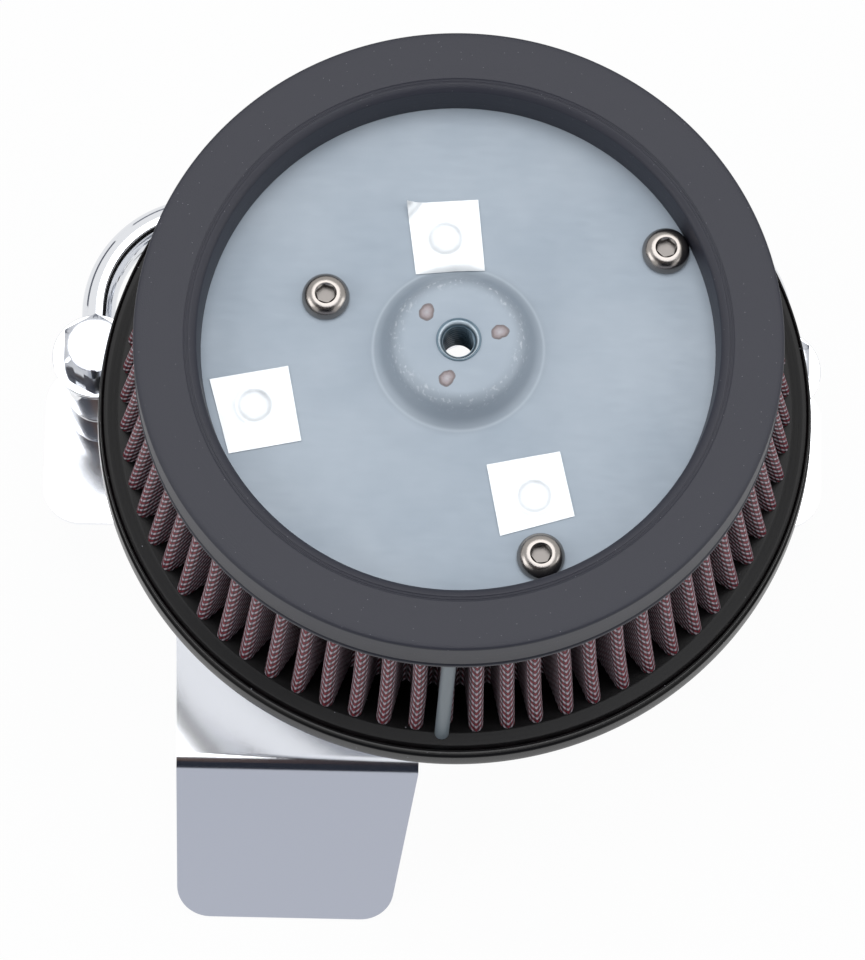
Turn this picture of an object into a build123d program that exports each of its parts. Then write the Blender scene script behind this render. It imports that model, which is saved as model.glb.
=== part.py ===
from build123d import *
import os
from math import cos, radians, sin

# Engine air cleaner for a V-twin: a round pleated filter on a chromed backing plate, with two
# breather bolts, their bent tubes, and a bent sheet cover that the same bolts hold.
# Millimetres. The origin is the centre of the inlet flange face, where the throttle body seats.
# +Z points away from the engine, +X along the line of the two breather bolts.

# Driving dimensions

# Inlet and backing plate
inlet_r = 30.0
inlet_mouth_fillet = 2.5
hub_r = 47.0
plate_t = 5.0
seat_z = 16.0
plate_inset = 5.2
plate_edge_fillet = 1.5
rib_inset = 0.5
rib_w = 3.0
rib_h = 4.0
locating_lip_t = 3.0
locating_lip_h = 3.0

# Throttle body screws, between the filter screws
throttle_screw_count = 3
throttle_screw_circle_r = 38.5
throttle_screw_angle = -20.6
throttle_screw_r = 3.1
throttle_shank_r = 2.9
throttle_screw_grip = 9.0
throttle_screw_reach = 14.0
throttle_head_r = 4.8
throttle_head_h = 4.2
throttle_pocket_r = 5.3

# Inlet seal
seal_cord_r = 1.3
seal_ring_r = 33.0

# Filter, on its own axis
filter_x = -11.9
filter_y = 4.1
lower_cap_r = 83.2
lower_cap_h = 9.5
upper_cap_r = 73.0
upper_cap_w = 14.2
upper_cap_draft = 0.85
upper_cap_z = 47.7
upper_cap_h = 13.7
lower_cap_cover = 1.9
upper_cap_skirt_w = 13.6

# Pleats
pleat_count = 68
seam_index = 51
seam_turn = -0.7
seam_foot_turn = -1.25
seam_head_turn = -0.5
rim_w = 5.4
ring_overhang = 1.8
pleat_depth = 11.4
ridge_bend_r = 1.7
valley_bend_r = 1.15
media_t = 0.95
seam_strip_r = 1.65
seam_stand = 0.15

# Top plate and weld nut
plate_top_z = 52.0
sheet_t = 1.5
sheet_grip = 7.0
dome_base_r = 18.2
dome_top_r = 13.3
dome_h = 7.0
dome_fillet = 2.6
nut_thread_r = 3.45
nut_barrel_r = 5.1
nut_length = 15.5
nut_flange_r = 11.8
nut_flange_t = 1.4
nut_stand = 0.4
nut_mouth = 1.4
nut_edge = 0.15

# Filter screws, on a circle about the inlet
filter_screw_count = 3
filter_screw_circle_r = 44.9
filter_screw_angle = 39.4
filter_screw_r = 3.1
filter_screw_length = 57.0
button_head_r = 5.4
button_head_h = 3.3
socket_across_flats = 3.97
socket_depth = 2.0
screw_post_r = 6.0
screw_post_h = 7.0

# Spare holes under tape
spare_hole_r = 3.7
spare_holes = [(-3.4, 26.4), (-45.5, -14.3), (17.65, -34.2)]
tape_t = 0.25
tape_corners = [
    [(-12.3, 34.6), (3.9, 35.9), (5.7, 18.8), (-9.9, 17.6)],
    [(-55.8, -8.4), (-38.2, -4.8), (-34.8, -22.4), (-51.0, -25.8)],
    [(6.8, -27.1), (23.2, -23.6), (26.7, -38.7), (10.1, -43.7)],
]

# Breather bolts and what they clamp
bolt_y = 21.5
bolt_left_x = -96.7
bolt_right_x = 64.2
bolt_head_top_z = 14.0
bolt_head_h = 8.4
bolt_across_flats = 14.3
bolt_thread_r = 4.76
bolt_shank_r = 4.5
thread_runout = 1.0
bolt_reach = 22.0
bolt_bore_r = 2.4
bolt_neck_r = 3.9
bolt_neck_h = 9.0
washer_r = 10.3
washer_t = 1.8
boss_r = 8.1
boss_h = 22.8
crush_ring_r = 7.5
crush_ring_t = 1.0
spacer_h = 15.8
edge_chamfer = 0.5
bolt_relief_r = 11.5

# Breather tubes
tube_r = 4.0
tube_bore_r = 2.8
tube_bend_r = 25.0
tube_turn = 120.0
tube_drop = 4.8
tube_straight = 13.3
tube_tail = 12.8
tube_socket_start = 3.0
tube_socket_r = 6.5
tube_socket_wall = 1.5
tube_ring_cord_r = 0.9
vent_r = 3.2

# Bent sheet cover
cover_t = 2.0
ear_left_x = -110.3
ear_right_x = 77.4
ear_top_y = 32.0
ear_left_bottom_y = -7.0
ear_right_bottom_y = -4.4
ear_corner_r = 9.0
cutout_r = 41.0
leg_left_x = -76.1
leg_left_lean = 1.9
leg_right_x = -18.4
bend_y = -63.7
web_low_y = -57.0
web_low_x = 10.0
web_mid_x = 56.0
web_mid_y = -22.0
web_fillet = 6.0
bend_outer_r = 6.0
bend_angle = 40.0
flap_length = 39.0
flap_left_run = 0.5
flap_right_run = -6.5
flap_corner_r = 8.0

# Fits
clearance = 0.1
bolt_clearance = 0.4
seat_gap = 0.02

# Worked-out places
ridge_foot_r = lower_cap_r - rim_w
ridge_top_r = upper_cap_r - ring_overhang
lower_cap_bore_r = ridge_foot_r - pleat_depth - lower_cap_cover
upper_cap_bore_r = upper_cap_r - upper_cap_w
upper_cap_wall_r = upper_cap_bore_r - upper_cap_draft
upper_cap_skirt_r = upper_cap_r - upper_cap_skirt_w
sheet_rim_r = upper_cap_r - sheet_grip
plate_r = lower_cap_r - plate_inset
rib_r = lower_cap_bore_r - rib_inset
filter_axis = Axis((filter_x, filter_y, 0), (0, 0, 1))
cap_top_z = upper_cap_z + upper_cap_h
washer_top_z = bolt_head_top_z - bolt_head_h
boss_top_z = washer_top_z - washer_t
boss_low_z = boss_top_z - boss_h
spacer_top_z = boss_low_z - crush_ring_t
cover_top_z = spacer_top_z - spacer_h
cover_low_z = cover_top_z - cover_t
tube_z = boss_top_z - tube_drop
bolt_sides = [("left", bolt_left_x, 1), ("right", bolt_right_x, -1)]


def section_at(x, y):
    """Upright section plane through (x, y): its x runs outward along +X, its y runs up."""
    return Plane(origin=(x, y, 0), x_dir=(1, 0, 0), z_dir=(0, -1, 0))


def upright(x, y):
    """Vertical axis through (x, y)."""
    return Axis((x, y, 0), (0, 0, 1))


def on_circle(radius, angle):
    """Point on a circle about the inlet."""
    return radius * cos(radians(angle)), radius * sin(radians(angle))


def filter_level(height):
    """Plane on the filter's axis, at a height above the filter's seat."""
    return Plane.XY.offset(seat_z + height)


def save(piece, name):
    """Label a finished piece and write it."""
    piece.part.label = name
    export_step(piece.part, f"parts/{name}.step")


os.makedirs("parts", exist_ok=True)

filter_screw_places = [
    on_circle(filter_screw_circle_r, filter_screw_angle + 360 * k / filter_screw_count)
    for k in range(filter_screw_count)
]
throttle_screw_places = [
    on_circle(throttle_screw_circle_r, throttle_screw_angle + 360 * k / throttle_screw_count)
    for k in range(throttle_screw_count)
]


def tube_route(bolt_x, hand):
    """Bend centre, end of the bend, and heading of the last straight, for one breather tube."""
    centre = Vector(bolt_x + hand * tube_bend_r, bolt_y + tube_straight, tube_z)
    after = radians(180 - tube_turn)
    bend_end = centre + Vector(hand * cos(after), sin(after), 0) * tube_bend_r
    heading = Vector(hand * sin(after), -cos(after), 0)
    return centre, bend_end, heading


# Lower end cap: moulded ring with a lip, a groove beside it and a shallow basin round the pleats
rim = [
    (lower_cap_r - 0.8, 0.0),
    (lower_cap_r, 1.0),
    (lower_cap_r, 2.2),
    (lower_cap_r - 0.25, 6.0),
    (lower_cap_r - 0.85, 6.5),
    (lower_cap_r - 1.0, lower_cap_h - 1.0),
    (lower_cap_r - 0.7, lower_cap_h - 0.6),
    (lower_cap_r - 0.8, lower_cap_h - 0.15),
    (lower_cap_r - 1.1, lower_cap_h),
    (lower_cap_r - 1.5, lower_cap_h - 0.35),
    (lower_cap_r - 2.4, lower_cap_h - 0.4),
    (ridge_foot_r + 0.3, lower_cap_h),
    (lower_cap_bore_r + 0.6, lower_cap_h),
    (lower_cap_bore_r, lower_cap_h - 0.6),
    (lower_cap_bore_r, 0.0),
]
with BuildPart() as lower_end_cap:
    with BuildSketch(section_at(filter_x, filter_y)):
        with BuildLine():
            Polyline([(r, seat_z + z) for r, z in rim], close=True)
        make_face()
    revolve(axis=filter_axis)
save(lower_end_cap, "lower_end_cap")

# Upper end cap: moulded ring that holds the top plate's rim in a pocket
ring = [
    (upper_cap_skirt_r, upper_cap_z),
    (upper_cap_r - 0.1, upper_cap_z),
    (upper_cap_r + 0.2, upper_cap_z + 0.3),
    (upper_cap_r + 0.2, upper_cap_z + 1.3),
    (upper_cap_r - 0.4, upper_cap_z + 1.6),
    (upper_cap_r - 0.4, upper_cap_z + 1.9),
    (upper_cap_r, upper_cap_z + 2.3),
    (upper_cap_r, cap_top_z - 0.6),
    (upper_cap_r - 0.2, cap_top_z - 0.25),
    (upper_cap_r - 0.5, cap_top_z - 0.08),
    (upper_cap_r - 1.2, cap_top_z),
    (upper_cap_bore_r + 3.0, cap_top_z),
    (upper_cap_bore_r + 2.7, cap_top_z - 0.25),
    (upper_cap_bore_r + 2.4, cap_top_z),
    (upper_cap_bore_r + 2.1, cap_top_z - 0.25),
    (upper_cap_bore_r + 1.8, cap_top_z),
    (upper_cap_bore_r + 0.7, cap_top_z - 0.4),
    (upper_cap_bore_r, cap_top_z - 1.1),
    (upper_cap_wall_r, plate_top_z),
    (sheet_rim_r + clearance, plate_top_z),
    (sheet_rim_r + clearance, plate_top_z - sheet_t),
    (upper_cap_skirt_r, plate_top_z - sheet_t),
]
with BuildPart() as upper_end_cap:
    with BuildSketch(section_at(filter_x, filter_y)):
        with BuildLine():
            Polyline([(r, seat_z + z) for r, z in ring], close=True)
        make_face()
    revolve(axis=filter_axis)
save(upper_end_cap, "upper_end_cap")


# Pleated media: one folded sheet, wider at the foot; its ends join in the fold under the seam strip
def pleat_outline(ridge_r, valley_r, ridge_bend, valley_bend):
    """Draw one closed outline of the folds about the filter axis."""
    step = 360 / pleat_count

    def place(radius, turn, across=0.0):
        a = radians(turn * step + seam_turn - seam_index * step - 90)
        return (filter_x + radius * cos(a) - across * sin(a),
                filter_y + radius * sin(a) + across * cos(a))

    valley_c = valley_r + valley_bend
    for k in range(pleat_count):
        top = ridge_r - (seam_strip_r - seam_stand + seat_gap if k == seam_index else 0)
        ridge_c = top - ridge_bend
        Line(place(valley_c, k - 0.5, valley_bend), place(ridge_c, k, -ridge_bend))
        ThreePointArc(place(ridge_c, k, -ridge_bend), place(top, k), place(ridge_c, k, ridge_bend))
        Line(place(ridge_c, k, ridge_bend), place(valley_c, k + 0.5, -valley_bend))
        ThreePointArc(place(valley_c, k + 0.5, -valley_bend), place(valley_r, k + 0.5),
                      place(valley_c, k + 0.5, valley_bend))


with BuildPart() as pleated_media:
    for inset, mode in ((0.0, Mode.ADD), (media_t, Mode.SUBTRACT)):
        for height, ridge_r in ((lower_cap_h, ridge_foot_r), (upper_cap_z, ridge_top_r)):
            with BuildSketch(filter_level(height)):
                with BuildLine():
                    pleat_outline(ridge_r - inset, ridge_r - pleat_depth - inset,
                                  ridge_bend_r - inset, valley_bend_r + inset)
                make_face()
        loft(ruled=True, mode=mode)
save(pleated_media, "pleated_media")

# Seam strip: round bead that closes the joined ends, leaning in with the folds
with BuildPart() as seam_strip:
    for height, ridge_r, turn in ((lower_cap_h, ridge_foot_r, seam_foot_turn),
                                  (upper_cap_z, ridge_top_r, seam_head_turn)):
        with BuildSketch(filter_level(height)):
            with Locations((filter_x, filter_y)):
                with PolarLocations(ridge_r + seam_stand, 1, start_angle=turn - 90):
                    Circle(seam_strip_r)
    loft(ruled=True)
save(seam_strip, "seam_strip")

# Top plate: pressed sheet with a raised dome, screw holes and spare holes
with BuildPart() as top_plate:
    with BuildSketch(section_at(filter_x, filter_y)):
        with BuildLine():
            Polyline(
                (0, seat_z + plate_top_z + dome_h - sheet_t),
                (dome_top_r, seat_z + plate_top_z + dome_h - sheet_t),
                (dome_base_r - sheet_t * 0.7, seat_z + plate_top_z - sheet_t),
                (sheet_rim_r, seat_z + plate_top_z - sheet_t),
                (sheet_rim_r, seat_z + plate_top_z),
                (dome_base_r, seat_z + plate_top_z),
                (dome_top_r + sheet_t * 0.7, seat_z + plate_top_z + dome_h),
                (0, seat_z + plate_top_z + dome_h),
                close=True,
            )
        dome_face = make_face()
        dome_corners = dome_face.vertices().filter_by_position(Axis.X, dome_top_r - 1, dome_base_r + 1)
        fillet(dome_corners, radius=dome_fillet)
    revolve(axis=filter_axis)
    with BuildSketch(filter_level(plate_top_z - sheet_t)):
        with Locations((filter_x, filter_y)):
            Circle(nut_barrel_r + clearance)
        with Locations(*filter_screw_places):
            Circle(filter_screw_r + bolt_clearance)
        with Locations(*[(filter_x + x, filter_y + y) for x, y in spare_holes]):
            Circle(spare_hole_r)
    extrude(amount=dome_h + 2 * sheet_t, mode=Mode.SUBTRACT)
save(top_plate, "top_plate")

# Weld nut: round base under the dome, barrel up through its hole
nut_top = seat_z + plate_top_z + dome_h + nut_stand
nut_seat = seat_z + plate_top_z + dome_h - sheet_t
with BuildPart() as weld_nut:
    with BuildSketch(section_at(filter_x, filter_y)):
        with BuildLine():
            Polyline(
                (nut_thread_r, nut_top - nut_length),
                (nut_barrel_r, nut_top - nut_length),
                (nut_barrel_r, nut_seat - nut_flange_t),
                (nut_flange_r, nut_seat - nut_flange_t),
                (nut_flange_r, nut_seat),
                (nut_barrel_r, nut_seat),
                (nut_barrel_r, nut_top - nut_edge),
                (nut_barrel_r - nut_edge, nut_top),
                (nut_thread_r + nut_mouth, nut_top),
                (nut_thread_r, nut_top - nut_mouth),
                close=True,
            )
        make_face()
    revolve(axis=filter_axis)
save(weld_nut, "weld_nut")

# Tape patches over the spare holes; the one beside the dome stops at its foot
for number, corners in enumerate(tape_corners, start=1):
    with BuildPart() as tape_patch:
        with BuildSketch(filter_level(plate_top_z)):
            with BuildLine():
                Polyline([(filter_x + x, filter_y + y) for x, y in corners], close=True)
            make_face()
            with Locations((filter_x, filter_y)):
                Circle(dome_base_r + dome_fillet * 0.6, mode=Mode.SUBTRACT)
        extrude(amount=tape_t)
    save(tape_patch, f"tape_patch_{number}")

# Filter screws: long button heads that clamp the filter to the backing plate
for number, (x, y) in enumerate(filter_screw_places, start=1):
    under_head = seat_z + plate_top_z
    with BuildPart() as filter_screw:
        with BuildSketch(section_at(x, y)):
            with BuildLine():
                Polyline(
                    (0, under_head + button_head_h),
                    (0, under_head - filter_screw_length),
                    (filter_screw_r - edge_chamfer, under_head - filter_screw_length),
                    (filter_screw_r, under_head - filter_screw_length + edge_chamfer),
                    (filter_screw_r, under_head),
                    (button_head_r, under_head),
                    (button_head_r, under_head + 0.5),
                )
                ThreePointArc(
                    (button_head_r, under_head + 0.5),
                    (button_head_r * 0.8, under_head + button_head_h * 0.72),
                    (button_head_r * 0.5, under_head + button_head_h),
                )
                Line((button_head_r * 0.5, under_head + button_head_h), (0, under_head + button_head_h))
            make_face()
        revolve(axis=upright(x, y))
        with BuildSketch(Plane.XY.offset(under_head + button_head_h)):
            with Locations((x, y)):
                RegularPolygon(socket_across_flats / 2, 6, major_radius=False)
        extrude(amount=-socket_depth, mode=Mode.SUBTRACT)
    save(filter_screw, f"filter_screw_{number}")

# Backing plate: cast disc with an inlet hub, screw posts, a stiffening rib and two tube sockets
with BuildPart() as backing_plate:
    with BuildSketch(section_at(filter_x, filter_y)):
        with BuildLine():
            Polyline(
                (0, seat_z - plate_t),
                (rib_r - rib_w, seat_z - plate_t),
                (rib_r - rib_w, seat_z - plate_t - rib_h),
                (rib_r, seat_z - plate_t - rib_h),
                (rib_r, seat_z - plate_t),
                (plate_r, seat_z - plate_t),
                (plate_r, seat_z),
                (lower_cap_bore_r - clearance, seat_z),
                (lower_cap_bore_r - clearance, seat_z + locating_lip_h),
                (lower_cap_bore_r - clearance - locating_lip_t, seat_z + locating_lip_h),
                (lower_cap_bore_r - clearance - locating_lip_t, seat_z),
                (0, seat_z),
                close=True,
            )
        make_face()
    revolve(axis=filter_axis)
    rim_edges = backing_plate.edges().filter_by(GeomType.CIRCLE).filter_by(
        lambda edge: abs(edge.radius - plate_r) < clearance)
    fillet(rim_edges, radius=plate_edge_fillet)
    with BuildSketch():
        Circle(hub_r)
    extrude(amount=seat_z)
    with BuildSketch(Plane.XY.offset(seat_z - plate_t)):
        with Locations(*filter_screw_places):
            Circle(screw_post_r)
    extrude(amount=plate_t + screw_post_h)
    for side, x, hand in bolt_sides:
        centre, bend_end, heading = tube_route(x, hand)
        mouth = bend_end + heading * tube_socket_start
        socket_length = tube_tail - tube_socket_start + 2 * vent_r + tube_socket_wall
        with BuildSketch(Plane(origin=mouth, z_dir=heading)):
            Circle(tube_socket_r)
        extrude(amount=socket_length)
        with BuildSketch(Plane(origin=mouth, x_dir=(0, 0, 1), z_dir=heading)):
            with Locations(((seat_z - plate_t - tube_z) / 2, 0)):
                Rectangle(seat_z - plate_t - tube_z, 1.6 * tube_socket_r)
        extrude(amount=socket_length)
    with BuildSketch(Plane.XY.offset(tube_z)):
        with Locations((bolt_left_x, bolt_y), (bolt_right_x, bolt_y)):
            Circle(bolt_relief_r)
    extrude(amount=seat_z - tube_z, mode=Mode.SUBTRACT)
    with BuildSketch():
        Circle(inlet_r)
    extrude(amount=seat_z, mode=Mode.SUBTRACT)
    mouth_edges = backing_plate.edges().filter_by(GeomType.CIRCLE).filter_by(
        lambda edge: abs(edge.radius - inlet_r) < clearance).filter_by_position(
        Axis.Z, seat_z - clearance, seat_z + clearance)
    fillet(mouth_edges, radius=inlet_mouth_fillet)
    with BuildSketch():
        with Locations(*throttle_screw_places):
            Circle(throttle_screw_r + bolt_clearance)
    extrude(amount=seat_z, mode=Mode.SUBTRACT)
    with BuildSketch(Plane.XY.offset(throttle_screw_grip)):
        with Locations(*throttle_screw_places):
            Circle(throttle_pocket_r)
    extrude(amount=seat_z - throttle_screw_grip, mode=Mode.SUBTRACT)
    with BuildSketch(Plane.XY.offset(seat_z - plate_t)):
        with Locations(*filter_screw_places):
            Circle(filter_screw_r + clearance)
    extrude(amount=plate_t + screw_post_h, mode=Mode.SUBTRACT)
    with BuildSketch():
        Circle(seal_ring_r + seal_cord_r + clearance)
        Circle(seal_ring_r - seal_cord_r - clearance, mode=Mode.SUBTRACT)
    extrude(amount=2 * seal_cord_r - edge_chamfer, mode=Mode.SUBTRACT)
    for side, x, hand in bolt_sides:
        centre, bend_end, heading = tube_route(x, hand)
        mouth = bend_end + heading * tube_socket_start
        tube_end = bend_end + heading * tube_tail
        vent = tube_end + heading * vent_r
        with BuildSketch(Plane(origin=mouth, z_dir=heading)):
            Circle(tube_r + clearance)
        extrude(amount=tube_tail - tube_socket_start, mode=Mode.SUBTRACT)
        with BuildSketch(Plane(origin=mouth, z_dir=heading)):
            Circle(tube_r + 2 * tube_ring_cord_r + clearance)
        extrude(amount=2 * tube_ring_cord_r + clearance, mode=Mode.SUBTRACT)
        with BuildSketch(Plane(origin=tube_end, z_dir=heading)):
            Circle(tube_bore_r)
        extrude(amount=vent_r, mode=Mode.SUBTRACT)
        with BuildSketch(Plane.XY.offset(tube_z - vent_r)):
            with Locations((vent.X, vent.Y)):
                Circle(vent_r)
        extrude(amount=seat_z - tube_z + vent_r, mode=Mode.SUBTRACT)
save(backing_plate, "backing_plate")

# Inlet seal: rubber ring in the flange groove
with BuildPart() as inlet_seal:
    with BuildSketch(section_at(0, 0)):
        with Locations((seal_ring_r, seal_cord_r - edge_chamfer)):
            Circle(seal_cord_r)
    revolve(axis=Axis.Z)
save(inlet_seal, "inlet_seal")

# Throttle body screws: socket heads sunk in the hub
for number, (x, y) in enumerate(throttle_screw_places, start=1):
    with BuildPart() as throttle_screw:
        with BuildSketch(section_at(x, y)):
            with BuildLine():
                Polyline(
                    (0, -throttle_screw_reach),
                    (throttle_screw_r - edge_chamfer, -throttle_screw_reach),
                    (throttle_screw_r, -throttle_screw_reach + edge_chamfer),
                    (throttle_screw_r, -thread_runout),
                    (throttle_shank_r, -thread_runout),
                    (throttle_shank_r, throttle_screw_grip),
                    (throttle_head_r, throttle_screw_grip),
                    (throttle_head_r, throttle_screw_grip + throttle_head_h - edge_chamfer),
                    (throttle_head_r - edge_chamfer, throttle_screw_grip + throttle_head_h),
                    (0, throttle_screw_grip + throttle_head_h),
                    close=True,
                )
            make_face()
        revolve(axis=upright(x, y))
        with BuildSketch(Plane.XY.offset(throttle_screw_grip + throttle_head_h)):
            with Locations((x, y)):
                RegularPolygon(socket_across_flats / 2, 6, major_radius=False)
        extrude(amount=-socket_depth, mode=Mode.SUBTRACT)
    save(throttle_screw, f"throttle_screw_{number}")

# What each breather bolt clamps, from the head down
for side, x, hand in bolt_sides:
    centre, bend_end, heading = tube_route(x, hand)

    # Hollow bolt: hex head, necked shank, cross hole into a long bore
    with BuildPart() as breather_bolt:
        with BuildSketch(Plane.XY.offset(washer_top_z)):
            with Locations((x, bolt_y)):
                RegularPolygon(bolt_across_flats / 2, 6, major_radius=False, rotation=30)
        extrude(amount=bolt_head_h)
        with BuildSketch(section_at(x, bolt_y)):
            with BuildLine():
                Polyline(
                    (0, washer_top_z),
                    (bolt_across_flats * 0.6, washer_top_z),
                    (bolt_across_flats * 0.6, bolt_head_top_z - bolt_across_flats * 0.07),
                    (bolt_across_flats * 0.48, bolt_head_top_z),
                    (0, bolt_head_top_z),
                    close=True,
                )
            make_face()
        revolve(axis=upright(x, bolt_y), mode=Mode.INTERSECT)
        with BuildSketch(section_at(x, bolt_y)):
            with BuildLine():
                Polyline(
                    (0, cover_low_z - bolt_reach),
                    (bolt_thread_r - edge_chamfer, cover_low_z - bolt_reach),
                    (bolt_thread_r, cover_low_z - bolt_reach + edge_chamfer),
                    (bolt_thread_r, cover_low_z - thread_runout),
                    (bolt_shank_r, cover_low_z - thread_runout),
                    (bolt_shank_r, tube_z - bolt_neck_h / 2),
                    (bolt_neck_r, tube_z - bolt_neck_h / 2 + bolt_shank_r - bolt_neck_r),
                    (bolt_neck_r, tube_z + bolt_neck_h / 2 - bolt_shank_r + bolt_neck_r),
                    (bolt_shank_r, tube_z + bolt_neck_h / 2),
                    (bolt_shank_r, washer_top_z),
                    (0, washer_top_z),
                    close=True,
                )
            make_face()
        revolve(axis=upright(x, bolt_y))
        with BuildSketch(Plane.XY.offset(cover_low_z - bolt_reach)):
            with Locations((x, bolt_y)):
                Circle(bolt_bore_r)
        extrude(amount=tube_z + bolt_bore_r - cover_low_z + bolt_reach, mode=Mode.SUBTRACT)
        with BuildSketch(Plane(origin=(x, bolt_y, tube_z), z_dir=(0, 1, 0))):
            Circle(bolt_bore_r)
        extrude(amount=bolt_shank_r, both=True, mode=Mode.SUBTRACT)
    save(breather_bolt, f"breather_bolt_{side}")

    # Plain washer under the head
    with BuildPart() as bolt_washer:
        with BuildSketch(Plane.XY.offset(boss_top_z)):
            with Locations((x, bolt_y)):
                Circle(washer_r)
                Circle(bolt_thread_r + bolt_clearance, mode=Mode.SUBTRACT)
        extrude(amount=washer_t)
        chamfer(bolt_washer.edges().filter_by(GeomType.CIRCLE).group_by(Axis.Z)[-1].sort_by(
            SortBy.RADIUS)[-1], length=0.3)
    save(bolt_washer, f"bolt_washer_{side}")

    # Banjo: bored boss with a bent tube brazed in, open from end to end
    with BuildPart() as banjo:
        with BuildSketch(Plane.XY.offset(boss_low_z)):
            with Locations((x, bolt_y)):
                Circle(boss_r)
        extrude(amount=boss_h)
        chamfer(banjo.edges().filter_by(GeomType.CIRCLE), length=edge_chamfer)
        start = Vector(x, bolt_y, tube_z)
        bend_start = start + Vector(0, tube_straight, 0)
        bend_middle = centre + (bend_start + bend_end - centre * 2).normalized() * tube_bend_r
        with BuildLine() as route:
            Line(start, bend_start)
            ThreePointArc(bend_start, bend_middle, bend_end)
            Line(bend_end, bend_end + heading * tube_tail)
        with BuildSketch(Plane(origin=start, z_dir=(0, 1, 0))):
            Circle(tube_r)
        sweep(path=route.wires()[0])
        with BuildSketch(Plane(origin=start, z_dir=(0, 1, 0))):
            Circle(tube_bore_r)
        sweep(path=route.wires()[0], mode=Mode.SUBTRACT)
        with BuildSketch(Plane.XY.offset(boss_low_z)):
            with Locations((x, bolt_y)):
                Circle(bolt_thread_r + clearance)
        extrude(amount=boss_h, mode=Mode.SUBTRACT)
    save(banjo, f"breather_banjo_{side}")

    # Rubber ring in the socket mouth, round the tube
    ring_at = bend_end + heading * (tube_socket_start + tube_ring_cord_r + clearance / 2)
    with BuildPart() as tube_seal:
        with BuildSketch(Plane(origin=ring_at, x_dir=(0, 0, 1), z_dir=heading.cross(Vector(0, 0, 1)))):
            with Locations((tube_r + tube_ring_cord_r + clearance / 2, 0)):
                Circle(tube_ring_cord_r)
        revolve(axis=Axis(ring_at, heading))
    save(tube_seal, f"tube_seal_{side}")

    # Crush ring between the boss and the spacer
    with BuildPart() as crush_ring:
        with BuildSketch(Plane.XY.offset(spacer_top_z)):
            with Locations((x, bolt_y)):
                Circle(crush_ring_r)
                Circle(bolt_thread_r + bolt_clearance, mode=Mode.SUBTRACT)
        extrude(amount=crush_ring_t)
    save(crush_ring, f"crush_ring_{side}")

    # Spacer that stands the air cleaner off the cover
    with BuildPart() as spacer:
        with BuildSketch(Plane.XY.offset(cover_top_z)):
            with Locations((x, bolt_y)):
                Circle(boss_r)
                Circle(bolt_thread_r + bolt_clearance, mode=Mode.SUBTRACT)
        extrude(amount=spacer_h)
        outer = spacer.edges().filter_by(GeomType.CIRCLE).filter_by(
            lambda edge: edge.radius > boss_r - clearance)
        chamfer(outer, length=edge_chamfer)
    save(spacer, f"spacer_{side}")

# Bent sheet cover: two ears, a web round the throttle body, a leg and a flap bent towards the engine
bend_axis_z = cover_top_z - bend_outer_r
flap_start = Vector(0, bend_y - bend_outer_r * sin(radians(bend_angle)),
                    bend_axis_z + bend_outer_r * cos(radians(bend_angle)))
flap_plane = Plane(origin=flap_start, x_dir=(1, 0, 0),
                   z_dir=(0, -sin(radians(bend_angle)), cos(radians(bend_angle))))
with BuildPart() as servo_cover:
    with BuildSketch(Plane.XY.offset(cover_low_z)) as cover_outline:
        with BuildLine():
            Polyline(
                (ear_left_x, ear_top_y),
                (ear_left_x, ear_left_bottom_y),
                (leg_left_x - leg_left_lean, ear_left_bottom_y),
                (leg_left_x, bend_y),
                (leg_right_x, bend_y),
                (leg_right_x, web_low_y),
                (web_low_x, web_low_y),
                (web_mid_x, web_mid_y),
                (web_mid_x, ear_right_bottom_y),
                (ear_right_x, ear_right_bottom_y),
                (ear_right_x, ear_top_y),
                close=True,
            )
        make_face()
        fillet(cover_outline.vertices().filter_by(
            lambda corner: corner.X < ear_left_x + 1 or corner.X > ear_right_x - 1),
            radius=ear_corner_r)
        fillet(cover_outline.vertices().filter_by(
            lambda corner: leg_left_x - leg_left_lean - 1 < corner.X < web_mid_x + 1 and corner.Y > bend_y + 1),
            radius=web_fillet)
    extrude(amount=cover_t)
    with BuildSketch(Plane.XY.offset(cover_low_z)):
        Circle(cutout_r)
        with Locations((0, ear_top_y / 2)):
            Rectangle(2 * cutout_r, ear_top_y)
        with Locations((bolt_left_x, bolt_y), (bolt_right_x, bolt_y)):
            Circle(bolt_thread_r + bolt_clearance)
    extrude(amount=cover_t, mode=Mode.SUBTRACT)
    with BuildSketch(Plane(origin=(0, bend_y, 0), x_dir=(1, 0, 0), z_dir=(0, -1, 0))):
        with Locations(((leg_left_x + leg_right_x) / 2, cover_top_z - cover_t / 2)):
            Rectangle(leg_right_x - leg_left_x, cover_t)
    revolve(axis=Axis((0, bend_y, bend_axis_z), (1, 0, 0)), revolution_arc=bend_angle)
    with BuildSketch(flap_plane):
        with BuildLine():
            Polyline(
                (leg_left_x, 0),
                (leg_left_x + flap_left_run, -flap_length),
                (leg_right_x + flap_right_run, -flap_length),
                (leg_right_x, 0),
                close=True,
            )
        flap = make_face()
        fillet(flap.vertices().filter_by_position(Axis.Y, -flap_length - 1, -flap_length + 1),
               radius=flap_corner_r)
    extrude(amount=-cover_t)
save(servo_cover, "servo_cover")
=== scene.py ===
"""Looks for the engine air cleaner: every visible piece, its finish, the camera and the light."""

import logging
import math
import random
from dataclasses import dataclass
from enum import Enum
from typing import Callable, Sequence

import bmesh
import bpy
from mathutils import Matrix, Vector, noise


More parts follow.
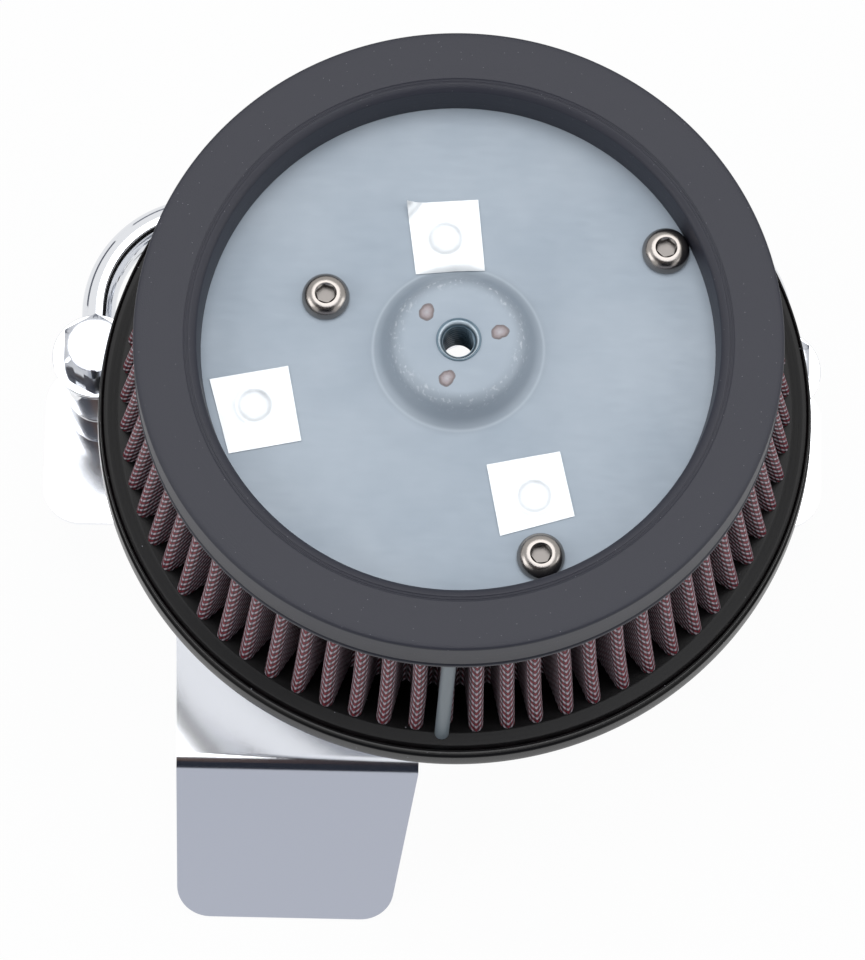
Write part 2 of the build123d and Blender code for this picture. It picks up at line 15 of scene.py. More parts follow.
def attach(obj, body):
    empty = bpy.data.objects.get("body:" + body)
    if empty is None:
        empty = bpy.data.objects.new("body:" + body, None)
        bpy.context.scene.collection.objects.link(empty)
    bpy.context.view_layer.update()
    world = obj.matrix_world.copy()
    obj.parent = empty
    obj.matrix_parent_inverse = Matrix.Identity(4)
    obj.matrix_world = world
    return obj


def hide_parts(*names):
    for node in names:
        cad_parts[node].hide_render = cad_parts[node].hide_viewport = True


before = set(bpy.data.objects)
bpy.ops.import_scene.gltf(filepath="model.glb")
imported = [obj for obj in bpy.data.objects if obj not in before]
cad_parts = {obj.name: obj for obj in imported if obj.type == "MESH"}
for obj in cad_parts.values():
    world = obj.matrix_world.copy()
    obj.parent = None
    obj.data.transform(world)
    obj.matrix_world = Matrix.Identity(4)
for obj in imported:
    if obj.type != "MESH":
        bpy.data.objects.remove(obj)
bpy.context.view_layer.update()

LOG = logging.getLogger("air_cleaner")
MM = 0.001
TURN = 2 * math.pi
FILTER_AXIS = (-11.9, 4.1)
THREAD_PITCH = 1.41
Point = tuple[float, float]
Band = tuple[float, float]
Faces = list[tuple[int, ...]]
Tree = bpy.types.NodeTree
Node = bpy.types.Node
Piece = bpy.types.Object
Reshape = Callable[[float, float, float], float]


class Corner(Enum):
    """How sharply a piece's edges break its shading."""

    SOFT = math.radians(50)
    CRISP = math.radians(28)


# Finishes


def linear(colour: str) -> tuple[float, float, float, float]:
    """Turn an sRGB hex colour into linear red, green, blue and alpha.

    Args:
        colour: Six hex digits after a hash.

    Returns:
        Linear channels and a full alpha.
    """
    channels = [int(colour[k:k + 2], 16) / 255 for k in (1, 3, 5)]
    return (*(c / 12.92 if c <= 0.04045 else ((c + 0.055) / 1.055) ** 2.4 for c in channels), 1.0)


def empty_tree(owner: bpy.types.Material | bpy.types.World) -> Tree:
    """Give a material or a world an empty node tree.

    Args:
        owner: The material or world.

    Returns:
        Its tree.
    """
    owner.use_nodes = True
    owner.node_tree.nodes.clear()
    return owner.node_tree


def add_node(tree: Tree, kind: str, inputs: dict | None = None, **settings: object) -> Node:
    """Add a node with its settings, values and links.

    Args:
        tree: The node tree it joins.
        kind: Blender's name for the node, without the ShaderNode that it starts with.
        inputs: Socket names or numbers, each with a value, with the socket that feeds it, or
            with the node whose first output feeds it.
        settings: Properties of the node itself.

    Returns:
        The new node.
    """
    node = tree.nodes.new("ShaderNode" + kind)
    for name, value in settings.items():
        setattr(node, name, value)
    for name, value in (inputs or {}).items():
        if isinstance(value, Node):
            value = value.outputs[0]
        if isinstance(value, bpy.types.NodeSocket):
            tree.links.new(value, node.inputs[name])
        else:
            node.inputs[name].default_value = value
    return node


@dataclass(frozen=True)
class Finish:
    """A plain finish; the others add their own pattern to it, some in place of its colour."""

    name: str
    slot: str
    colour: str
    roughness: float
    metallic: float = 0.0
    specular: float = 0.5

    def material(self) -> bpy.types.Material:
        """Make the material once and give it each time it is asked for.

        Returns:
            The material.
        """
        material = bpy.data.materials.get(self.name)
        if not material:
            material = bpy.data.materials.new(self.name)
            tree = empty_tree(material)
            shader = add_node(tree, "BsdfPrincipled", {
                "Base Color": linear(self.colour), "Roughness": self.roughness,
                "Metallic": self.metallic, "Specular IOR Level": self.specular})
            add_node(tree, "OutputMaterial", {"Surface": shader})
            self.pattern(tree, shader)
        return material

    def pattern(self, tree: Tree, shader: Node) -> None:
        """Add the finish's own pattern; a plain finish has none."""

    def spots(self, tree: Tree, size_mm: float, detail: float = 2.0, kind: str = "TexNoise",
              stretch: Sequence[float] = (1, 1, 1)) -> Node:
        """Add a noise whose blots have a real size.

        Args:
            tree: The material's tree.
            size_mm: Width of one blot.
            detail: How many finer layers it has.
            kind: The texture node's kind.
            stretch: How much each axis is squeezed.

        Returns:
            The texture node.
        """
        place = add_node(tree, "TexCoord").outputs["Object"]
        scaled = add_node(tree, "VectorMath", {0: place, 1: tuple(stretch)}, operation="MULTIPLY")
        values = {"Vector": scaled, "Scale": 1 / (size_mm * MM)}
        if kind == "TexNoise":
            values["Detail"] = detail
        return add_node(tree, kind, values)

    def ramp(self, tree: Tree, source: Node, stops: Sequence[tuple[float, str]]) -> Node:
        """Turn a value into colours.

        Args:
            tree: The material's tree.
            source: The node that drives the ramp.
            stops: Places from 0 to 1, each with its colour.

        Returns:
            The ramp node.
        """
        node = add_node(tree, "ValToRGB", {"Fac": source})
        while len(node.color_ramp.elements) < len(stops):
            node.color_ramp.elements.new(0.5)
        for element, (place, colour) in zip(node.color_ramp.elements, stops):
            element.position = place
            element.color = linear(colour)
        return node

    def bump(self, tree: Tree, shader: Node, height: Node, depth_mm: float,
             strength: float = 1.0) -> None:
        """Feed a height into the shader's normal.

        Args:
            tree: The material's tree.
            shader: The shader.
            height: The node that gives a height from 0 to 1.
            depth_mm: Real depth of the pattern.
            strength: How much of it shows.
        """
        node = add_node(tree, "Bump", {
            "Height": height, "Distance": depth_mm * MM, "Strength": strength})
        tree.links.new(node.outputs[0], shader.inputs["Normal"])

    def wave(self, tree: Tree, source: Node | bpy.types.NodeSocket, pitch_mm: float) -> Node:
        """Make a wave that is 1 on each wire or crest and 0 midway between two.

        Args:
            tree: The material's tree.
            source: Distance in metres.
            pitch_mm: Distance between crests.

        Returns:
            The node that gives the wave.
        """
        turn = add_node(tree, "Math", {0: source, 1: TURN / (pitch_mm * MM)}, operation="MULTIPLY")
        cosine = add_node(tree, "Math", {0: turn}, operation="COSINE")
        return add_node(tree, "Math", {0: cosine, 1: 0.5, 2: 0.5}, operation="MULTIPLY_ADD")

    def from_axis(self, tree: Tree) -> bpy.types.NodeSocket:
        """Give each point's level distance from the filter's axis."""
        level = add_node(tree, "VectorMath", {
            0: add_node(tree, "TexCoord").outputs["Object"], 1: (1, 1, 0),
            2: (-FILTER_AXIS[0] * MM, -FILTER_AXIS[1] * MM, 0)}, operation="MULTIPLY_ADD")
        return add_node(tree, "VectorMath", {0: level}, operation="LENGTH").outputs["Value"]


@dataclass(frozen=True)
class Uneven(Finish):
    """A finish whose only pattern is an uneven skin, such as the grain of rubber or plastic."""

    grain_mm: float = 0.5
    grain_depth_mm: float = 0.01
    grain_detail: float = 3.0
    grain_strength: float = 1.0

    def pattern(self, tree: Tree, shader: Node) -> None:
        """Add the uneven skin."""
        grain = self.spots(tree, self.grain_mm, self.grain_detail)
        self.bump(tree, shader, grain, self.grain_depth_mm, self.grain_strength)


@dataclass(frozen=True)
class PolishedChrome(Uneven):
    """Nickel and chrome on polished metal: a mirror with the slow waves that buffing leaves."""

    grain_detail: float = 1.0


@dataclass(frozen=True)
class ZincCoatedSheet(Finish):
    """Zinc-coated pressed steel: dull grey-blue and cloudy, with scratched wear along the dome's
    upper bend and a painted highlight, a pale ring, along its foot.
    """

    cloud_mm: float = 26.0
    light: str = "#a9b3bd"
    dark: str = "#a0abb6"
    rub_mm: float = 1.2
    rub_depth_mm: float = 0.01
    gloss_spread: Band = (-0.06, 0.08)
    scuff: str = "#d3d9df"
    scuff_r: float = 14.2
    scuff_reach: float = 2.2
    scratch_mm: float = 0.8
    torn_band: Band = (0.56, 0.7)
    # Painted highlight: a pale ring along the dome's foot bend
    painted_foot_highlight: str = "#bcc6cf"
    foot_r: float = 19.3
    foot_reach: float = 0.5
    foot_share: float = 0.7

    def wear_and_highlight_ring(self, tree: Tree, radius: float, reach: float, share: float) -> Node:
        """Give a mask that is strongest on a circle about the filter's axis; it places wear and a
        painted highlight.

        Args:
            tree: The material's tree.
            radius: The circle's radius.
            reach: How far the wear goes to both sides.
            share: The mask's value on the circle itself.

        Returns:
            The node that gives the mask.
        """
        off = add_node(tree, "Math", {0: self.from_axis(tree), 1: radius * MM},
                       operation="SUBTRACT")
        away = add_node(tree, "Math", {0: off}, operation="ABSOLUTE")
        return add_node(tree, "MapRange", {
            "Value": away, "From Max": reach * MM, "To Min": share, "To Max": 0.0})

    def pattern(self, tree: Tree, shader: Node) -> None:
        """Add clouds, a worn circle and a painted highlight circle to the colour, and rub marks to
        the gloss.

        Args:
            tree: The material's tree.
            shader: The shader.
        """
        clouds = self.spots(tree, self.cloud_mm, 4.0)
        tone = self.ramp(tree, clouds, ((0.35, self.dark), (0.65, self.light)))
        # Painted highlight: the pale ring along the dome's foot bend
        foot = self.wear_and_highlight_ring(tree, self.foot_r, self.foot_reach, self.foot_share)
        edged = add_node(tree, "Mix", {
            "Factor": foot, 6: tone, 7: linear(self.painted_foot_highlight)}, data_type="RGBA")
        scratches = self.spots(tree, self.scratch_mm, 5.0, stretch=(1.0, 0.6, 1.0))
        torn = add_node(tree, "MapRange", {
            "Value": scratches, "From Min": self.torn_band[0], "From Max": self.torn_band[1]})
        near = self.wear_and_highlight_ring(tree, self.scuff_r, self.scuff_reach, 1.0)
        scuffed = add_node(tree, "Math", {0: near, 1: torn}, operation="MULTIPLY")
        worn = add_node(tree, "Mix", {
            "Factor": scuffed, 6: edged.outputs[2], 7: linear(self.scuff)}, data_type="RGBA")
        tree.links.new(worn.outputs[2], shader.inputs["Base Color"])
        rubs = self.spots(tree, self.rub_mm, 3.0, stretch=(0.25, 1.0, 1.0))
        gloss = add_node(tree, "MapRange", {
            "Value": rubs, "To Min": self.roughness + self.gloss_spread[0],
            "To Max": self.roughness + self.gloss_spread[1]})
        tree.links.new(gloss.outputs[0], shader.inputs["Roughness"])
        self.bump(tree, shader, rubs, self.rub_depth_mm, 0.5)


@dataclass(frozen=True)
class MouldedUrethane(Finish):
    """Cast polyurethane: a matte skin with fine turned lines from the mould, pores and lint."""

    line_mm: float = 0.7
    line_depth_mm: float = 0.012
    pore_mm: float = 0.35
    lint_colour: str = "#8a8990"
    lint_mm: float = 1.6
    lint_share: float = 0.045

    def pattern(self, tree: Tree, shader: Node) -> None:
        """Add turned lines, pores and specks of lint.

        Args:
            tree: The material's tree.
            shader: The shader.
        """
        place = add_node(tree, "SeparateXYZ", {0: add_node(tree, "TexCoord").outputs["Object"]})
        rings = add_node(tree, "CombineXYZ", {0: self.from_axis(tree), 1: place.outputs[2]})
        lines = add_node(tree, "TexNoise", {
            "Vector": rings, "Scale": 1 / (self.line_mm * MM), "Detail": 3.0})
        pores = self.spots(tree, self.pore_mm, 2.0)
        height = add_node(tree, "Math", {0: lines, 1: pores}, operation="ADD")
        self.bump(tree, shader, height, self.line_depth_mm)
        lint = self.spots(tree, self.lint_mm, kind="TexVoronoi").outputs["Distance"]
        seen = add_node(tree, "Math", {0: lint, 1: self.lint_share}, operation="LESS_THAN")
        tone = add_node(tree, "Mix", {
            "Factor": seen, 6: linear(self.colour), 7: linear(self.lint_colour)},
            data_type="RGBA")
        tree.links.new(tone.outputs[2], shader.inputs["Base Color"])


@dataclass(frozen=True)
class OiledCottonGauze(Finish):
    """Oiled cotton gauze under epoxy-coated wire: red cloth behind a pale slanting mesh."""

    cloth: str = "#7d2331"
    # Dark end of the cloth's ramp: random dark blots and painted shade in the valleys and beside
    # the wires
    painted_shade_and_blots: str = "#150a0d"
    wire: str = "#beb0b9"
    row_mm: float = 2.9
    strand_mm: float = 0.95
    slant: float = 1.5
    wire_band: Band = (0.46, 0.82)
    wire_depth_mm: float = 0.3
    gap_band: Band = (0.1, 0.5)
    gap_share: float = 0.35
    blot_mm: float = 0.7
    ridge_mm: float = 2.6
    # Painted highlight on the ridge and painted shade beside the wires
    painted_ridge_light: Band = (0.22, -0.12)
    strand_light: Band = (-0.22, 0.16)
    row_reach: float = 0.4
    painted_wire_shade: Band = (0.2, -0.3)

    def pattern(self, tree: Tree, shader: Node) -> None:
        """Draw the wires from the sheet's own coordinates: across the fold and up it, in metres.

        Args:
            tree: The material's tree.
            shader: The shader.
        """
        sheet = add_node(tree, "SeparateXYZ", {0: add_node(tree, "UVMap", uv_map="sheet")})
        across = add_node(tree, "Math", {0: sheet}, operation="ABSOLUTE")
        lean = add_node(tree, "Math", {0: across, 1: self.slant}, operation="MULTIPLY")
        drop = add_node(tree, "Math", {0: sheet.outputs[1], 1: lean}, operation="SUBTRACT")
        rows = self.wave(tree, drop, self.row_mm)
        strands = self.wave(tree, sheet, self.strand_mm)
        wire = add_node(tree, "MapRange", {
            "Value": rows, "From Min": self.wire_band[0], "From Max": self.wire_band[1]})
        gap = add_node(tree, "MapRange", {
            "Value": strands, "From Min": self.gap_band[0], "From Max": self.gap_band[1],
            "To Min": self.gap_share})
        mesh = add_node(tree, "Math", {0: wire, 1: gap}, operation="MULTIPLY")
        # The cloth is lighter along a strand; it is also lighter on the ridge, a painted
        # highlight, and darker down the sides and beside each wire, painted shade
        lights = ((across, self.ridge_mm * MM, self.painted_ridge_light),
                  (strands, 1.0, self.strand_light), (rows, self.row_reach, self.painted_wire_shade))
        shown = self.spots(tree, self.blot_mm, 2.0)
        for source, reach, (first, last) in lights:
            lit = add_node(tree, "MapRange", {
                "Value": source, "From Max": reach, "To Min": first, "To Max": last})
            shown = add_node(tree, "Math", {0: shown, 1: lit}, operation="ADD")
        cloth = self.ramp(tree, shown, ((0.3, self.painted_shade_and_blots), (0.78, self.cloth)))
        tone = add_node(tree, "Mix", {"Factor": mesh, 6: cloth, 7: linear(self.wire)},
                        data_type="RGBA")
        tree.links.new(tone.outputs[2], shader.inputs["Base Color"])
        self.bump(tree, shader, mesh, self.wire_depth_mm, 0.8)


@dataclass(frozen=True)
class HeatTint(Finish):
    """Resistance weld spot: a rough pale middle in a grey-brown rim that fades into the zinc."""

    reach_mm: float = 2.4
    pit_mm: float = 0.5
    pit_depth_mm: float = 0.15
    tones: tuple[tuple[float, str], ...] = (
        (0.0, "#a9a6ab"), (0.45, "#938a8c"), (0.68, "#766c6c"), (1.0, "#98a3ad"))

    def pattern(self, tree: Tree, shader: Node) -> None:
        """Shade from the middle to the rim.

        Args:
            tree: The material's tree.
            shader: The shader.
        """
        turned = add_node(tree, "SeparateXYZ", {0: add_node(tree, "UVMap", uv_map="turned")})
        reach = add_node(tree, "Math", {0: turned, 1: self.reach_mm * MM}, operation="DIVIDE")
        tone = self.ramp(tree, reach, self.tones)
        tree.links.new(tone.outputs[0], shader.inputs["Base Color"])
        self.bump(tree, shader, self.spots(tree, self.pit_mm, 2.0), self.pit_depth_mm)


@dataclass(frozen=True)
class CutThread(Finish):
    """Plated steel with a cut thread: crests that repeat up the nut's axis."""

    crest_depth_mm: float = 0.5
    # Painted shade in the thread's roots and painted highlight on its crests
    root: str = "#5f7482"
    crest: str = "#c9d6df"

    def pattern(self, tree: Tree, shader: Node) -> None:
        """Add the crests, which flat faces across the axis do not show, with painted highlight on
        them and painted shade in the roots.

        Args:
            tree: The material's tree.
            shader: The shader.
        """
        place = add_node(tree, "SeparateXYZ", {0: add_node(tree, "TexCoord").outputs["Object"]})
        crests = self.wave(tree, place.outputs[2], THREAD_PITCH)
        tone = self.ramp(tree, crests, ((0.3, self.root), (0.9, self.crest)))
        tree.links.new(tone.outputs[0], shader.inputs["Base Color"])
        self.bump(tree, shader, crests, self.crest_depth_mm)


# Chrome-plated sheet: a slightly soft mirror, a little wavy, so straight reflections bend
CHROMED_SHEET = PolishedChrome("chrome-plated steel sheet", "chromed_sheet", "#f6f7fa", 0.16,
                               1.0, grain_mm=30.0, grain_depth_mm=0.03)
# Chrome-plated turned steel: the sharpest mirror of all
CHROMED_STEEL = PolishedChrome("chrome-plated turned steel", "chromed_steel", "#e2e4e8", 0.06,
                               1.0, grain_mm=12.0, grain_depth_mm=0.0006)
# Chromed casting: the same plate over a softer, wavier ground
CHROMED_CASTING = PolishedChrome("chrome-plated cast aluminium", "chromed_casting", "#eef0f4",
                                 0.12, 1.0, grain_mm=9.0, grain_depth_mm=0.02)
# Stainless button heads: warm grey, satin, as turned and tumbled
STAINLESS = Uneven("tumbled stainless steel", "stainless", "#96918d", 0.24, 1.0, grain_mm=0.8)
# The sockets of the same heads: the darker colour is painted shade in the recess, and they are
# rougher inside where the tumbling media did not reach
HEX_SOCKET = Uneven("stainless socket with painted shade", "stainless", "#7d7976", 0.42, 1.0,
                    grain_mm=0.8)
# The bolts' heads: chrome over a turned top, so their reflections are soft
BOLT_HEAD = PolishedChrome("chrome over turned steel", "chromed_steel", "#c2c5cc", 0.2, 1.0,
                           grain_mm=12.0, grain_depth_mm=0.0006)
# Zinc-coated sheet: dull grey-blue with clouds
ZINC_SHEET = ZincCoatedSheet("zinc-coated pressed steel", "zinc_sheet", "#97a3b0", 0.58, 0.3, 0.35)
# Clear zinc on the nut: bluish, with painted highlight making the crests paler and painted shade
# darkening the roots between them
ZINC_NUT = CutThread("blue zinc-plated steel", "zinc_nut", "#8195a3", 0.3, 0.25)
# Weld spots burnt through the zinc
WELD_SPOT = HeatTint("heat-tinted weld spot", "zinc_sheet", "#8f7f7d", 0.5, 0.5)
# Cast urethane: charcoal, matte and a little dusty
URETHANE_TOP = MouldedUrethane("cast urethane ring", "urethane", "#2a2b35", 0.5, 0.0, 0.4,
                               line_mm=0.9, line_depth_mm=0.03)
# The base ring's urethane is darker and has a satin skin
URETHANE_BASE = MouldedUrethane("cast urethane base", "urethane_base", "#060506", 0.26, 0.0,
                                0.17, lint_mm=3.0)
# Oiled gauze under wire
GAUZE = OiledCottonGauze("oiled cotton gauze under wire", "media", "#8a3040", 0.6, 0.0, 0.35)
# Extruded plastic bead over the joined ends
SEAM_BEAD = Uneven("extruded grey bead", "seam_bead", "#737c82", 0.42, grain_mm=1.0)
# Aluminium foil tape: near-white satin foil with small creases
TAPE = Uneven("aluminium foil tape", "foil_tape", "#dde1e4", 0.38, 0.35, grain_mm=5.0,
              grain_depth_mm=0.12, grain_strength=0.6)
# Moulded rubber of the seals and crush rings
SEAL_RUBBER = Uneven("moulded seal rubber", "seal_rubber", "#17171a", 0.45, grain_mm=0.4)


# Mesh making


def place_object(name: str, data: bpy.types.ID) -> Piece:
    """Make an object and link it to the scene.

    Args:
        name: The object's name.
        data: Its mesh, lamp or camera.

    Returns:
        The object.
    """
    placed = bpy.data.objects.new(name, data)
    bpy.context.scene.collection.objects.link(placed)
    return placed


def shade(piece: Piece, corner: Corner) -> None:
    """Shade a piece smoothly up to its corner angle."""
    piece.data.shade_smooth()
    piece.data.set_sharp_from_angle(angle=corner.value)


def make_piece(name: str, verts: Sequence[Vector], faces: Faces, finish: Finish,
               corner: Corner = Corner.CRISP) -> Piece:
    """Make one mesh object in the row frame and dress it.

    Args:
        name: The piece's name.
        verts: Points in metres.
        faces: Faces as lists of point numbers.
        finish: What it is made of.
        corner: Where its shading breaks.

    Returns:
        The new object, linked to the scene.
    """
    mesh = bpy.data.meshes.new(name)
    mesh.from_pydata([tuple(v) for v in verts], [], faces)
    mesh.validate()
    piece = place_object(name, mesh)
    shade(piece, corner)
    mesh.materials.append(finish.material())
    return piece


def settle(piece: Piece, *nodes: str) -> None:
    """Ride a finished piece on the frame in place of its CAD nodes.

    Args:
        piece: The piece.
        nodes: The nodes that it stands for.
    """
    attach(piece, "root")
    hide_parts(*nodes)
    LOG.info("%s stands for %s", piece.name, ", ".join(nodes) or "a detail")


def beside_axis(place: Point) -> Point:
    """Give the place of a point that is measured from the filter's axis."""
    return FILTER_AXIS[0] + place[0], FILTER_AXIS[1] + place[1]


def round_point(centre: Point, radius: float, angle: float, z: float) -> Vector:
    """Give a point about an upright axis: millimetres in, metres out."""
    return Vector((centre[0] + radius * math.cos(angle),
                   centre[1] + radius * math.sin(angle), z)) * MM


def bridge(first: int, second: int, count: int) -> Faces:
    """Give the faces between two closed rows of points.

    Args:
        first: Number of the first row's first point.
        second: Number of the second row's first point.
        count: Points in each row.

    Returns:
        One face for each step round the rows.
    """
    return [(first + j, first + (j + 1) % count, second + (j + 1) % count, second + j)
            for j in range(count)]


def wall_faces(outer: Sequence[int], inner: Sequence[int], count: int) -> Faces:
    """Give the faces of a wall with an outer side, an inner side and two ends.

    Args:
        outer: Number of the first point of each outer row.
        inner: Number of the first point of each inner row.
        count: Points in each row.

    Returns:
        The wall's faces.
    """
    faces = bridge(inner[0], outer[0], count) + bridge(outer[-1], inner[-1], count)
    for rows in (outer, inner[::-1]):
        for first, second in zip(rows, rows[1:]):
            faces += bridge(first, second, count)
    return faces


def post_faces(count: int) -> Faces:
    """Give the faces of a post between a lower and an upper row of points."""
    ends = [tuple(range(count - 1, -1, -1)), tuple(range(count, 2 * count))]
    return ends + bridge(0, count, count)


def rounded(points: Sequence[Point], radius: float, steps: int = 4,
            closed: bool = True) -> list[Point]:
    """Round each corner of an outline.

    Args:
        points: Corners in order.
        radius: Largest rounding; short sides get less.
        steps: Points on each arc.
        closed: Whether the last corner joins the first.

    Returns:
        The outline with arcs for corners.
    """
    out: list[Point] = []
    count = len(points)
    for k, corner in enumerate(points):
        if not closed and k in (0, count - 1):
            out.append(corner)
            continue
        here = Vector(corner)
        back = Vector(points[k - 1]) - here
        ahead = Vector(points[(k + 1) % count]) - here
        reach = min(radius, back.length * 0.45, ahead.length * 0.45)
        start = here + back.normalized() * reach
        end = here + ahead.normalized() * reach
        for step in range(steps + 1):
            t = step / steps
            out.append(tuple((1 - t) ** 2 * start + 2 * t * (1 - t) * here + t ** 2 * end))
    return out


def face_out(piece: Piece) -> None:
    """Turn every face of a closed piece outward.

    Args:
        piece: The piece.
    """
    work = bmesh.new()
    work.from_mesh(piece.data)
    bmesh.ops.recalc_face_normals(work, faces=work.faces)
    work.to_mesh(piece.data)
    work.free()


def lathe(name: str, profile: Sequence[Point], centre: Point, finish: Finish,
          segments: int = 192, corner: Corner = Corner.CRISP, reshape: Reshape | None = None,
          low: float = 0.0) -> Piece:
    """Turn a closed outline about an upright axis.

    Args:
        name: The piece's name.
        profile: Radius and height in millimetres; one that starts and ends on the axis is solid.
        centre: The axis's place.
        finish: What it is made of.
        segments: Steps round the turn.
        corner: Where its shading breaks.
        reshape: Gives each point's radius from its radius, height and angle.
        low: Height of the profile's zero.

    Returns:
        The turned piece.
    """
    solid = profile[0][0] == 0 and profile[-1][0] == 0
    rows = list(profile[1:-1]) if solid else list(profile)
    count = len(rows)
    middle = segments * count
    verts: list[Vector] = []
    faces: Faces = []
    for k in range(segments):
        angle = TURN * k / segments
        verts += [round_point(centre, reshape(r, z, angle) if reshape else r, angle, low + z)
                  for r, z in rows]
        a, b = k * count, (k + 1) % segments * count
        faces += bridge(a, b, count)[:count - 1 if solid else count]
        if solid:
            faces += [(middle, a, b), (middle + 1, b + count - 1, a + count - 1)]
    if solid:
        verts += [round_point(centre, 0, 0, low + z) for _, z in (profile[0], profile[-1])]
    piece = make_piece(name, verts, faces, finish, corner)
    lengths = [0.0]
    for (r0, z0), (r1, z1) in zip(profile, profile[1:]):
        lengths.append(lengths[-1] + math.hypot(r1 - r0, z1 - z0))
    shown = lengths[1:-1] if solid else lengths
    ends = (lengths[0], lengths[-1])
    turned = piece.data.uv_layers.new(name="turned")
    for loop in piece.data.loops:
        v = loop.vertex_index
        along = ends[v - middle] if v >= middle else shown[v % count]
        turned.data[loop.index].uv = (along * MM, (v // count) / segments)
    face_out(piece)
    return piece


def sweep(name: str, path: Sequence[Vector], radii: Sequence[float], finish: Finish,
          segments: int = 48) -> Piece:
    """Sweep a tube along a level path.

    Args:
        name: The piece's name.
        path: Points on the centre line in millimetres.
        radii: Outer radius, then the bore's radius.
        finish: What it is made of.
        segments: Steps round the tube.

    Returns:
        The tube, open at both ends, with its wall's thickness.
    """
    verts = []
    last = len(path) - 1
    for k, here in enumerate(path):
        ahead = (path[min(k + 1, last)] - path[max(k - 1, 0)]).normalized()
        side = ahead.cross(Vector((0, 0, 1))).normalized()
        for radius in radii:
            for step in range(segments):
                angle = TURN * step / segments
                verts.append((here + side * radius * math.cos(angle)
                              + Vector((0, 0, radius * math.sin(angle)))) * MM)
    outer = [2 * segments * k for k in range(len(path))]
    faces = wall_faces(outer, [row + segments for row in outer], segments)
    piece = make_piece(name, verts, faces, finish)
    face_out(piece)
    return piece


def join(pieces: Sequence[Piece]) -> Piece:
    """Join pieces into the first one."""
    with bpy.context.temp_override(active_object=pieces[0],
                                   selected_editable_objects=list(pieces)):
        bpy.ops.object.join()
    return pieces[0]


def bake(piece: Piece) -> None:
    """Turn a piece's modifiers into its mesh.

    Args:
        piece: The piece.
    """
    done = bpy.data.meshes.new_from_object(
        piece.evaluated_get(bpy.context.evaluated_depsgraph_get()))
    piece.modifiers.clear()
    piece.data = done


def carve(piece: Piece, cutters: Sequence[Piece]) -> None:
    """Cut solids out of a piece and drop them.

    Args:
        piece: What is cut.
        cutters: Closed solids.
    """
    for cutter in cutters:
        modifier = piece.modifiers.new("cut", "BOOLEAN")
        modifier.object = cutter
        modifier.operation = "DIFFERENCE"
        modifier.solver = "EXACT"
        modifier.material_mode = "TRANSFER"
    bake(piece)
    for cutter in cutters:
        bpy.data.objects.remove(cutter)
    shade(piece, Corner.CRISP)


def prism(sides: int, reach: float, centre: Point, low: float, high: float, finish: Finish,
          turn: float = 0.0) -> Piece:
    """Make an upright prism to cut with.

    Args:
        sides: Number of sides.
        reach: Distance from the axis to a corner.
        centre: The axis's place.
        low: Height of its foot.
        high: Height of its top.
        finish: Finish of the faces that it leaves.
        turn: Angle of its first corner.

    Returns:
        The prism.
    """
    verts = [round_point(centre, reach, turn + TURN * k / sides, z)
             for z in (low, high) for k in range(sides)]
    return make_piece("cutter", verts, post_faces(sides), finish)


def dress_node(node: str, finish: Finish) -> None:
    """Show a CAD node's own mesh in a finish.

    Args:
        node: The node's name.
        finish: What it is made of.
    """
    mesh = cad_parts[node].data.copy()
    mesh.materials.clear()
    mesh.materials.append(finish.material())
    for face in mesh.polygons:
        face.material_index = 0
    piece = place_object(node + "_dressed", mesh)
    work = bmesh.new()
    work.from_mesh(mesh)
    bmesh.ops.remove_doubles(work, verts=work.verts, dist=0.002 * MM)
    work.to_mesh(mesh)
    work.free()
    shade(piece, Corner.CRISP)
    settle(piece, node)


# Sub-assemblies


